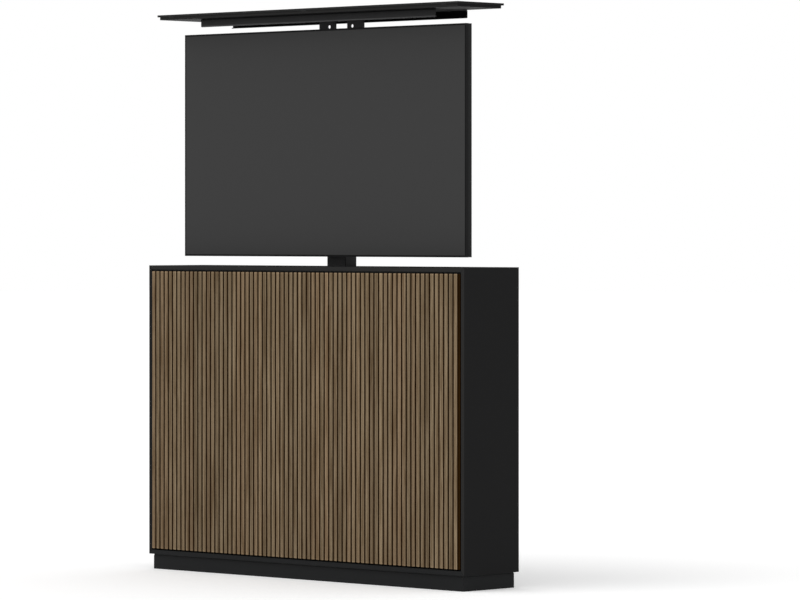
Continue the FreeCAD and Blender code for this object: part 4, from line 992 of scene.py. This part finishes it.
class CABINET_OT_front(bpy.types.Operator):
    """Build the slats and finish the board behind them."""
    bl_idname = "lift_cabinet.front"
    bl_label = "Slatted front"

    tone_spread = 0.09          # how much the tones of the slats differ
    shift = (0.013, 1.37)       # grain's shift from slat to slat, across and along

    def execute(self, context):
        settings = context.scene.lift_cabinet
        eased("front_panel", settings.case.rounding / 2)
        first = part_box("slats_left")[0].x
        spacing = (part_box("slats_middle")[0].x - first) / settings.front.count
        random = np.random.default_rng(settings.front.seed)
        for group in ("slats_left", "slats_middle", "slats_right"):
            self.group(group, spacing, settings.front, random)
        return {"FINISHED"}

    @staticmethod
    def outline(width, low_y, high_y, radius):
        """Quarter circles of the given radius at the front corners, between straight sides."""
        left = arc((radius, low_y + radius), radius, pi, 1.5 * pi, 3)
        right = arc((width - radius, low_y + radius), radius, 1.5 * pi, tau, 3)
        return np.concatenate([[(0, high_y)], left, right, [(width, high_y)]])

    def group(self, node, spacing, front, random):
        """One third of the slats: an outline carried upwards, eased at both ends."""
        low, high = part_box(node)
        width = high.x - low.x - (front.count - 1) * spacing
        outline = self.outline(width, low.y, high.y, front.rounding)
        middle = np.array([width / 2, (low.y + high.y) / 2])
        ease, highlight_reach = front.end_rounding, front.highlight_end
        small = middle + (outline - middle) * (1 - 2 * ease / width)
        small[:, 1] = np.maximum(small[:, 1], low.y)
        levels = [low.z, low.z + ease, low.z + highlight_reach, high.z - highlight_reach, high.z - ease, high.z]
        points, faces = loft([small, outline, outline, outline, outline, small], levels, "Z")
        # Lighter tone at a slat's ends: a painted highlight.
        highlight_gain = np.repeat([1.0, 1.0, 0.0, 0.0, 1.0, 1.0], len(outline)) * front.highlight_gain
        # Sides of a slat take the groove colour: painted shade.
        sides = outline[:, 1] > low.y + front.rounding * 0.9
        groove = np.tile(sides, len(levels)).astype(float)
        shape = Shape()
        for index in range(front.count):
            tone = 1 + self.tone_spread * random.standard_normal()
            warmth = max(0.0, random.uniform(-0.8, 1.0))
            shape.add((points + [low.x + index * spacing, 0, 0], faces), warmth=warmth,
                      tone=tone * (1 + highlight_gain), groove=groove)
        mesh = shape.mesh(node + "_rounded")
        self.unwrap(mesh, low, spacing)
        stand_for(node, "_rounded", mesh)

    def unwrap(self, mesh, low, spacing):
        """Grain coordinates: across is x plus depth, along is z, both shifted for each slat."""
        corners = np.empty(len(mesh.loops), int)
        mesh.loops.foreach_get("vertex_index", corners)
        place = np.empty(len(mesh.vertices) * 3)
        mesh.vertices.foreach_get("co", place)
        place = place.reshape(-1, 3)[corners]
        slat = np.floor((place[:, 0] - low.x) / spacing + 0.1)
        across = place[:, 0] + place[:, 1] + self.shift[0] * slat
        along = place[:, 2] + self.shift[1] * slat + low.x
        layer = mesh.uv_layers.new(name="grain")
        layer.data.foreach_set("uv", np.stack([across, along], axis=1).ravel())


class CABINET_OT_column(bpy.types.Operator):
    """Finish the fixed and moving tubes, their plates and their plastic guides."""
    bl_idname = "lift_cabinet.column"
    bl_label = "Column"

    def execute(self, context):
        # Lighter edges are partly a painted highlight; the middle column's lighter front is painted
        # light.
        for node, front in (("base_plate", None), ("upper_bracket", None),
                            ("lower_bracket", None), ("outer_column", None),
                            ("middle_column", "steel_front"), ("inner_column", None)):
            eased(node, FINE_EASE, 1, "steel_edge", front)
        for node in ("outer_collar", "middle_collar", "middle_foot", "inner_foot"):
            eased(node, SMALL_EASE)
        return {"FINISHED"}


class CABINET_OT_drive(bpy.types.Operator):
    """Build the threaded screws, the bearing and the motor of the column."""
    bl_idname = "lift_cabinet.drive"
    bl_label = "Drive"

    def execute(self, context):
        metal = context.scene.lift_cabinet.metal
        self.screw("drive_screw", metal, 7 * MM, 0)
        self.screw("hollow_screw", metal, 11 * MM, 7.5 * MM)
        for node in ("middle_nut", "inner_nut"):
            eased(node, SMALL_EASE)
        eased("gearbox", BROAD_EASE)
        self.bearing()
        self.motor()
        self.terminal_box()
        return {"FINISHED"}

    @staticmethod
    def screw(node, metal, radius, bore):
        """A helix: the radius drops by the thread's depth where the wave of turns is low.

        The wave is (height / lead - angle / full turn) times the number of starts. A screw has
        a collar at its foot, and a bored one also has a collar at its top and an inner wall.
        """
        low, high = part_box(node)
        centre = middle_of(node)
        collar = (high.x - low.x) / 2
        flange, ease, run_out = 6 * MM, 0.5 * MM, 3 * MM
        count, rows = 36, 5         # points round the screw, and rows of them in a thread
        start, end = low.z + flange, high.z - (flange if bore else 0)
        step = metal.lead / metal.starts / rows
        height = np.linspace(start, end, int((end - start) / step))
        angle = np.arange(count) * tau / count
        wave = (height[:, None] / metal.lead - angle[None] / tau) * metal.starts
        crest = np.abs(wave % 1 - 0.5) * 2
        fade = np.clip(np.minimum(height - start, end - height) / run_out, 0, 1)[:, None]
        depth = metal.thread * np.clip((0.66 - crest) / 0.3, 0, 1) * fade
        rim = np.array([collar - ease, collar, collar, collar - ease])[:, None, None]
        loops = [circle(rim, count), circle((radius - depth)[..., None], count)]
        levels = [[low.z, low.z + ease, start - ease, start], height]
        if bore:
            loops += [circle(rim, count), circle(np.full((2, 1, 1), bore), count)]
            levels += [[end, end + ease, high.z - ease, high.z], [high.z, low.z]]
        points, faces = loft(np.concatenate(loops), np.concatenate(levels), "Z", bool(bore))
        Shape((points + [centre.x, centre.y, 0], faces)).stand_for(node, "_threaded")

    @staticmethod
    def bearing():
        """Two washers with a row of balls between them."""
        low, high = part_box("thrust_bearing")
        centre = middle_of("thrust_bearing")
        radius = (high.x - low.x) / 2
        bore, race, ease, seated = 7.6 * MM, 2.6 * MM, SMALL_EASE, 0.8 * MM
        row, balls = 14 * MM, 14
        shape = Shape()
        for bottom in (low.z, high.z - race):
            top = bottom + race
            shape.add(turned([(bore, bottom), (radius - ease, bottom), (radius, bottom + ease),
                              (radius, top - ease), (radius - ease, top), (bore, top)],
                             (centre.x, centre.y, 0), "Z", ring=True))
        ball = (high.z - low.z) / 2 - race + seated
        profile = arc((0, 0), ball, -pi / 2, pi / 2, 8)
        for x, y in circle(row, balls):
            shape.add(turned(profile, (centre.x + x, centre.y + y, centre.z), "Z", 14))
        shape.stand_for("thrust_bearing", "_races")

    @staticmethod
    def motor():
        """A turned can with rolled grooves, a stepped neck and a screwed end cap."""
        low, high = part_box("motor")
        centre = middle_of("motor")
        radius = (high.z - low.z) / 2
        neck, step, groove, screw_row = 19 * MM, 1.5 * MM, 0.9 * MM, 16 * MM
        end, shoulder = low.x, high.x - 20 * MM
        profile = [(radius - 4 * MM, end), (radius - 1.2 * MM, end + 1.2 * MM),
                   (radius, end + 4 * MM)]
        for place in (end + 14 * MM, end + 22 * MM, shoulder - 26 * MM, shoulder - 18 * MM):
            profile += [(radius, place - groove), (radius - groove, place - groove / 2),
                        (radius - groove, place + groove / 2), (radius, place + groove)]
        profile += [(radius, shoulder - 1 * MM), (radius - 1 * MM, shoulder), (neck, shoulder),
                    (neck, shoulder + 8 * MM), (neck - step, shoulder + 9 * MM),
                    (neck - step, high.x - 4 * MM), (neck, high.x - 3 * MM), (neck, high.x)]
        Shape(turned(profile, (0, centre.y, centre.z), "X", 56)).stand_for("motor", "_can")
        spots = [(end, centre.y + y, centre.z + z) for y, z in circle(screw_row, 4)]
        screws("motor_screws", spots, "X", -1, 3 * MM, BODY_OF["motor"], "zinc_steel")

    @staticmethod
    def terminal_box():
        """A box on the motor with a turned gland for its lead."""
        low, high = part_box("motor")
        y = middle_of("motor").y
        start, end, half = low.x + 40 * MM, low.x + 84 * MM, 15 * MM
        box = plate((start, y - half, end, y + half), 3 * MM, high.z - 3 * MM,
                    high.z + 12 * MM, "Z", 1.5 * MM)
        profile = np.array([(5, 0), (5, -3), (4, -4), (4, -8), (2.6, -9)]) * MM
        gland = turned(profile, (start + 1 * MM, y, high.z + 5 * MM), "X", 24)
        Shape(box, gland).piece("motor_terminal_box", BODY_OF["motor"], "black_plastic")


class CABINET_OT_carriage(bpy.types.Operator):
    """Finish the head plate, spine, crossbars and mounting arms."""
    bl_idname = "lift_cabinet.carriage"
    bl_label = "Carriage"

    def execute(self, context):
        # The lighter edge finish is partly a painted highlight, and on the lid supports' fronts
        # painted light.
        for node in ("head_plate", "spine_plate", "upper_crossbar", "lower_crossbar",
                     "vesa_arm_left", "vesa_arm_right"):
            eased(node, FINE_EASE, 1, "steel_edge")
        for node in ("lid_support_left", "lid_support_right"):
            eased(node, BROAD_EASE, edge="steel_edge", front="steel_edge")
        self.end_caps()
        self.support_screws()
        return {"FINISHED"}

    @staticmethod
    def end_caps():
        """Plugs in the open ends of the crossbars: a rim and a smaller neck inside the tube."""
        wall, rim, neck = 2.2 * MM, 1.5 * MM, 10 * MM
        shape = Shape()
        for node in ("upper_crossbar", "lower_crossbar"):
            low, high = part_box(node)
            sides = (low.y, low.z, high.y, high.z)
            inside = rounded_rectangle(sides, 0.4 * MM, wall)
            outside = rounded_rectangle(sides, 1.2 * MM)
            eased_rim = rounded_rectangle(sides, 0.8 * MM, 0.6 * MM)
            for end, out in ((low.x, -1), (high.x, 1)):
                levels = np.array([-neck, 0, 0, rim / 2, rim]) * out + end
                shape.add(loft([inside, inside, outside, outside, eased_rim], levels, "X"))
        shape.piece("crossbar_end_caps", "carriage", "black_plastic")

    @staticmethod
    def support_screws():
        """Two screws in the foot and two in the head of each lid support, and a row in the lid."""
        sheet, edge, tab, radius = 3 * MM, 16 * MM, 8 * MM, 4.5 * MM
        feet, heads = [], []
        for node in ("lid_support_left", "lid_support_right"):
            low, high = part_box(node)
            for x in (low.x + edge, high.x - edge):
                feet.append((x, high.y - tab, low.z + sheet))
                heads.append((x, high.y - tab, high.z - sheet))
        screws("support_foot_screws", feet, "Z", 1, radius, "carriage", "black_steel")
        low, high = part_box("lid_channel")
        reach, clear, inset = high.x - 60 * MM, 120 * MM, 34 * MM
        row = [x for x in np.linspace(-reach, reach, 8) if abs(x) > clear]
        heads += [(x, y, high.z - sheet) for x in row for y in (low.y + inset, high.y - inset)]
        screws("lid_channel_screws", heads, "Z", -1, radius, "carriage", "black_steel")


class CABINET_OT_bolts(bpy.types.Operator):
    """Build the hexagonal bolts with their washers."""
    bl_idname = "lift_cabinet.bolts"
    bl_label = "Bolts"

    corner = 7.5 * MM                       # from a head's middle to its corner
    flat = 7.5 * MM * np.sin(pi / 3)        # from a head's middle to its flat
    head = 5 * MM
    shank = 4 * MM
    rise = 28 * MM                          # between the two rows of bolts in a bracket

    def execute(self, context):
        for node, axis, forward in (("base_bolts", "Z", -1), ("bracket_bolts", "Y", 1),
                                    ("spine_bolts", "Y", 1), ("vesa_bolts", "Y", -1)):
            self.build(node, axis, forward)
        return {"FINISHED"}

    def build(self, node, axis, forward):
        """All the bolts of a group, their shanks forward (1) or back (-1) on the axis."""
        low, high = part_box(node)
        along = "XYZ".index(axis)
        other = 3 - along
        if forward > 0:
            seat = low[along] + self.head
            grip = high[along] - seat
        else:
            seat = high[along] - self.head
            grip = seat - low[along]
        rows = [low[other] + self.flat, high[other] - self.flat]
        if node == "bracket_bolts":
            rows[1:1] = [rows[0] + self.rise, rows[1] - self.rise]
        points, faces = loft(*self.bolt(grip, forward, axis == "Y"), axis)
        shape = Shape()
        for x in (low.x + self.corner, high.x - self.corner):
            for row in rows:
                spot = (x, seat, row) if axis == "Y" else (x, row, seat)
                shape.add((points + np.array(spot), faces))
        shape.stand_for(node, "_hexagonal")

    def bolt(self, grip, forward, turn):
        """Loops and levels of a shank, washer and hexagonal head, stacked along the bolt."""
        ease, dish = 0.4 * MM, 0.25 * MM
        washer, washer_high, washer_ease = self.corner - 0.1 * MM, 1.0 * MM, 0.2 * MM
        radii = [(self.shank - ease, grip), (self.shank, grip - ease), (self.shank, 0),
                 (washer, 0), (washer, -washer_high + washer_ease),
                 (washer - washer_ease, -washer_high)]
        limits = [(self.corner * 0.95, -washer_high), (self.corner, -washer_high - ease),
                  (self.corner, -self.head + 1.2 * ease), (self.flat * 0.97, -self.head),
                  (self.flat * 0.55, -self.head), (self.flat * 0.45, -self.head + dish)]
        loops = np.array([circle(radius, 48) for radius, _ in radii]
                         + [hexagon(self.flat, limit) for limit, _ in limits])
        if turn:
            loops = loops[..., ::-1]
        return loops, np.array([level for _, level in radii + limits]) * forward


class CABINET_OT_lid(bpy.types.Operator):
    """Ease the lid, fold its channel and finish its felt bumpers."""
    bl_idname = "lift_cabinet.lid"
    bl_label = "Floating lid"

    def execute(self, context):
        settings = context.scene.lift_cabinet
        # The lid's lighter front face is painted light; its lighter edges are partly a painted
        # highlight.
        eased("lid_board", settings.case.rounding, edge="lacquer_edge", front="lacquer_front")
        eased("lid_bumpers", FINE_EASE)
        self.channel(settings.metal.bend)
        return {"FINISHED"}

    @staticmethod
    def channel(bend):
        """One folded sheet, open downwards with returned edges, carried along x.

        The first strip of its faces is the inside of the fold, nearly black: painted shade. On the
        outside, the faces below the upper end of the lower bends carry the edges' finish, a
        painted highlight along the bends.
        """
        low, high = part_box("lid_channel")
        sheet, hem = 3 * MM, 9 * MM
        half = sheet / 2
        path = round_corners([(low.y + hem, low.z + half), (low.y + half, low.z + half),
                              (low.y + half, high.z - half), (high.y - half, high.z - half),
                              (high.y - half, low.z + half), (high.y - hem, low.z + half)], bend)
        folded = folded_sheet(path, sheet, low.x, high.x, "X")
        steps = len(path) - 1
        # Inside of the fold: painted shade; outside of the lower bends: painted highlight.
        edge, inside = 1, 2
        finishes = np.zeros(len(folded[1]), int)
        finishes[:steps] = inside
        outside = (path[:0:-1, 1] + path[-2::-1, 1]) / 2
        finishes[steps + 1:2 * steps + 1] = (outside < low.z + bend + half) * edge
        piece = Shape().add(folded, finishes).stand_for(
            "lid_channel", "_folded", "black_steel", "steel_edge", "steel_inside")
        round_edges(piece, FINE_EASE, 1, True)


class CABINET_OT_television(bpy.types.Operator):
    """Finish the television's frame, screen and back cover."""
    bl_idname = "lift_cabinet.television"
    bl_label = "Television"

    def execute(self, context):
        # The bezel's lighter bevel is a painted highlight.
        eased("tv_bezel", 0.9 * MM, edge="tv_edge")
        eased("tv_screen", SMALL_EASE)
        eased("tv_back_cover", BROAD_EASE)
        low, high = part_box("tv_back_cover")
        self.raised_band(low, high)
        self.terminals(low, high)
        self.loudspeakers(low, high)
        screws("tv_cover_screws", border_spots("tv_back_cover", 14 * MM, 7, 4), "Y", 1, 3 * MM,
               "carriage", "zinc_steel")
        return {"FINISHED"}

    @staticmethod
    def raised_band(low, high):
        """A low moulded rib round the back: two rounded outlines with a flat band between."""
        inset, wide, rise = 30 * MM, 5 * MM, 0.8 * MM
        band = flat_ring((low.z, low.x, high.z, high.x), (inset, 7 * MM),
                         (inset + wide, 4.5 * MM), high.y - SUNK, high.y + rise, "Y", 8)
        Shape(band).piece("tv_cover_rib", "carriage", "tv_plastic")

    @staticmethod
    def terminals(low, high):
        """A raised field with a row of sockets: framed slots and two turned aerial sleeves."""
        back = high.y + 1.2 * MM
        left, bottom = low.x + 150 * MM, low.z + 150 * MM
        shape = Shape(plate((bottom, left, bottom + 46 * MM, left + 170 * MM), 4 * MM,
                            high.y - SUNK, back, "Y", 0.6 * MM))
        slots, margin, spacing, wide, wall = 5, 12 * MM, 21 * MM, 16 * MM, 1 * MM
        for start in left + margin + spacing * np.arange(slots):
            shape.add(flat_ring((bottom + 19 * MM, start, bottom + 27 * MM, start + wide),
                                (0, 1.5 * MM), (wall, 0.8 * MM), back - SUNK, back + wall, "Y"))
        sleeve = np.array([(5, 0), (5, 1), (3.6, 1.2), (3.6, 6), (2.4, 6), (2.2, 1.5)]) * MM
        for x in (left + 126 * MM, left + 148 * MM):
            shape.add(turned(sleeve, (x, back, bottom + 23 * MM), "Y", 24))
        shape.piece("tv_terminals", "carriage", "tv_plastic")

    @staticmethod
    def loudspeakers(low, high):
        """Two fields of short upright ribs over the loudspeakers."""
        away, reach, ribs, half = 330 * MM, 90 * MM, 31, 0.8 * MM
        bottom, top = low.z + 44 * MM, low.z + 74 * MM
        shape = Shape()
        for middle in (-away, away):
            for x in middle + np.linspace(-reach, reach, ribs):
                shape.add(plate((bottom, x - half, top, x + half), 0.7 * MM, high.y - SUNK,
                                high.y + 0.9 * MM, "Y", 0.3 * MM))
        shape.piece("tv_speaker_ribs", "carriage", "tv_plastic")


class CABINET_OT_controls(bpy.types.Operator):
    """Finish the control box and its mains inlet."""
    bl_idname = "lift_cabinet.controls"
    bl_label = "Controls"

    def execute(self, context):
        eased("control_box", 0.6 * MM)
        eased("power_inlet", FINE_EASE)
        low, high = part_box("control_box")
        edge = 9 * MM
        spots = [(x, y, high.z) for x in (low.x + edge, high.x - edge)
                 for y in (low.y + edge, high.y - edge)]
        screws("control_box_screws", spots, "Z", 1, 2.8 * MM, "root", "zinc_steel")
        self.cover(low, high)
        self.sockets(low, high)
        return {"FINISHED"}

    @staticmethod
    def cover(low, high):
        """Cooling ribs across the box's top and a small indicator, a quarter ellipse turned."""
        ribs, half, margin = 12, 1.5 * MM, 22 * MM
        shape = Shape()
        for x in np.linspace(low.x + 40 * MM, high.x - 60 * MM, ribs):
            shape.add(plate((x - half, low.y + margin, x + half, high.y - margin), 1.2 * MM,
                            high.z - SUNK, high.z + 1.2 * MM, "Z", 0.5 * MM))
        dome = directions(np.linspace(0, pi / 2 - 0.05, 6)) * [2.2 * MM, 1.4 * MM]
        shape.add(turned(dome, (high.x - 30 * MM, (low.y + high.y) / 2, high.z), "Z", 20))
        shape.piece("control_box_ribs", "root", "black_plastic")

    @staticmethod
    def sockets(low, high):
        """Two framed sockets on the side towards the motor, for the motor and the hand control."""
        wide, tall, wall = 8 * MM, 6 * MM, 1.5 * MM
        z = (low.z + high.z) / 2
        shape = Shape()
        for y in (low.y + 30 * MM, low.y + 62 * MM):
            shape.add(flat_ring((y - wide, z - tall, y + wide, z + tall), (0, 1.5 * MM),
                                (wall, 0.8 * MM), low.x + SUNK, low.x - 1.8 * MM, "X"))
        shape.piece("control_box_sockets", "root", "black_plastic")


class CABINET_PT_panel(bpy.types.Panel):
    """Lists the steps that build the cabinet."""
    bl_idname = "CABINET_PT_panel"
    bl_label = "Lift Cabinet"
    bl_space_type = "VIEW_3D"
    bl_region_type = "UI"
    bl_category = "Lift Cabinet"

    def draw(self, context):
        for step in STEPS:
            self.layout.operator(step.bl_idname)
        settings = context.scene.lift_cabinet
        for group in (settings.case, settings.front, settings.metal, settings.television,
                      settings.stage):
            box = self.layout.box()
            for name in group.__annotations__:
                box.prop(group, name)


STEPS = (CABINET_OT_stage, CABINET_OT_case, CABINET_OT_front, CABINET_OT_column,
         CABINET_OT_drive, CABINET_OT_bolts, CABINET_OT_carriage, CABINET_OT_lid,
         CABINET_OT_television, CABINET_OT_controls)
SETTINGS = (CaseSettings, FrontSettings, MetalSettings, TelevisionSettings, StageSettings,
            CabinetSettings)


def register():
    """Register the classes and hang the settings on the scene."""
    for kind in (*SETTINGS, *STEPS, CABINET_PT_panel):
        bpy.utils.register_class(kind)
    bpy.types.Scene.lift_cabinet = PointerProperty(type=CabinetSettings)


def unregister():
    """Take the settings and the classes away again."""
    del bpy.types.Scene.lift_cabinet
    for kind in reversed((*SETTINGS, *STEPS, CABINET_PT_panel)):
        bpy.utils.unregister_class(kind)


def main():
    """Build everything."""
    register()
    for step in STEPS:
        group, name = step.bl_idname.split(".")
        getattr(getattr(bpy.ops, group), name)()
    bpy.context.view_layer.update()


if __name__ == "__main__":
    main()
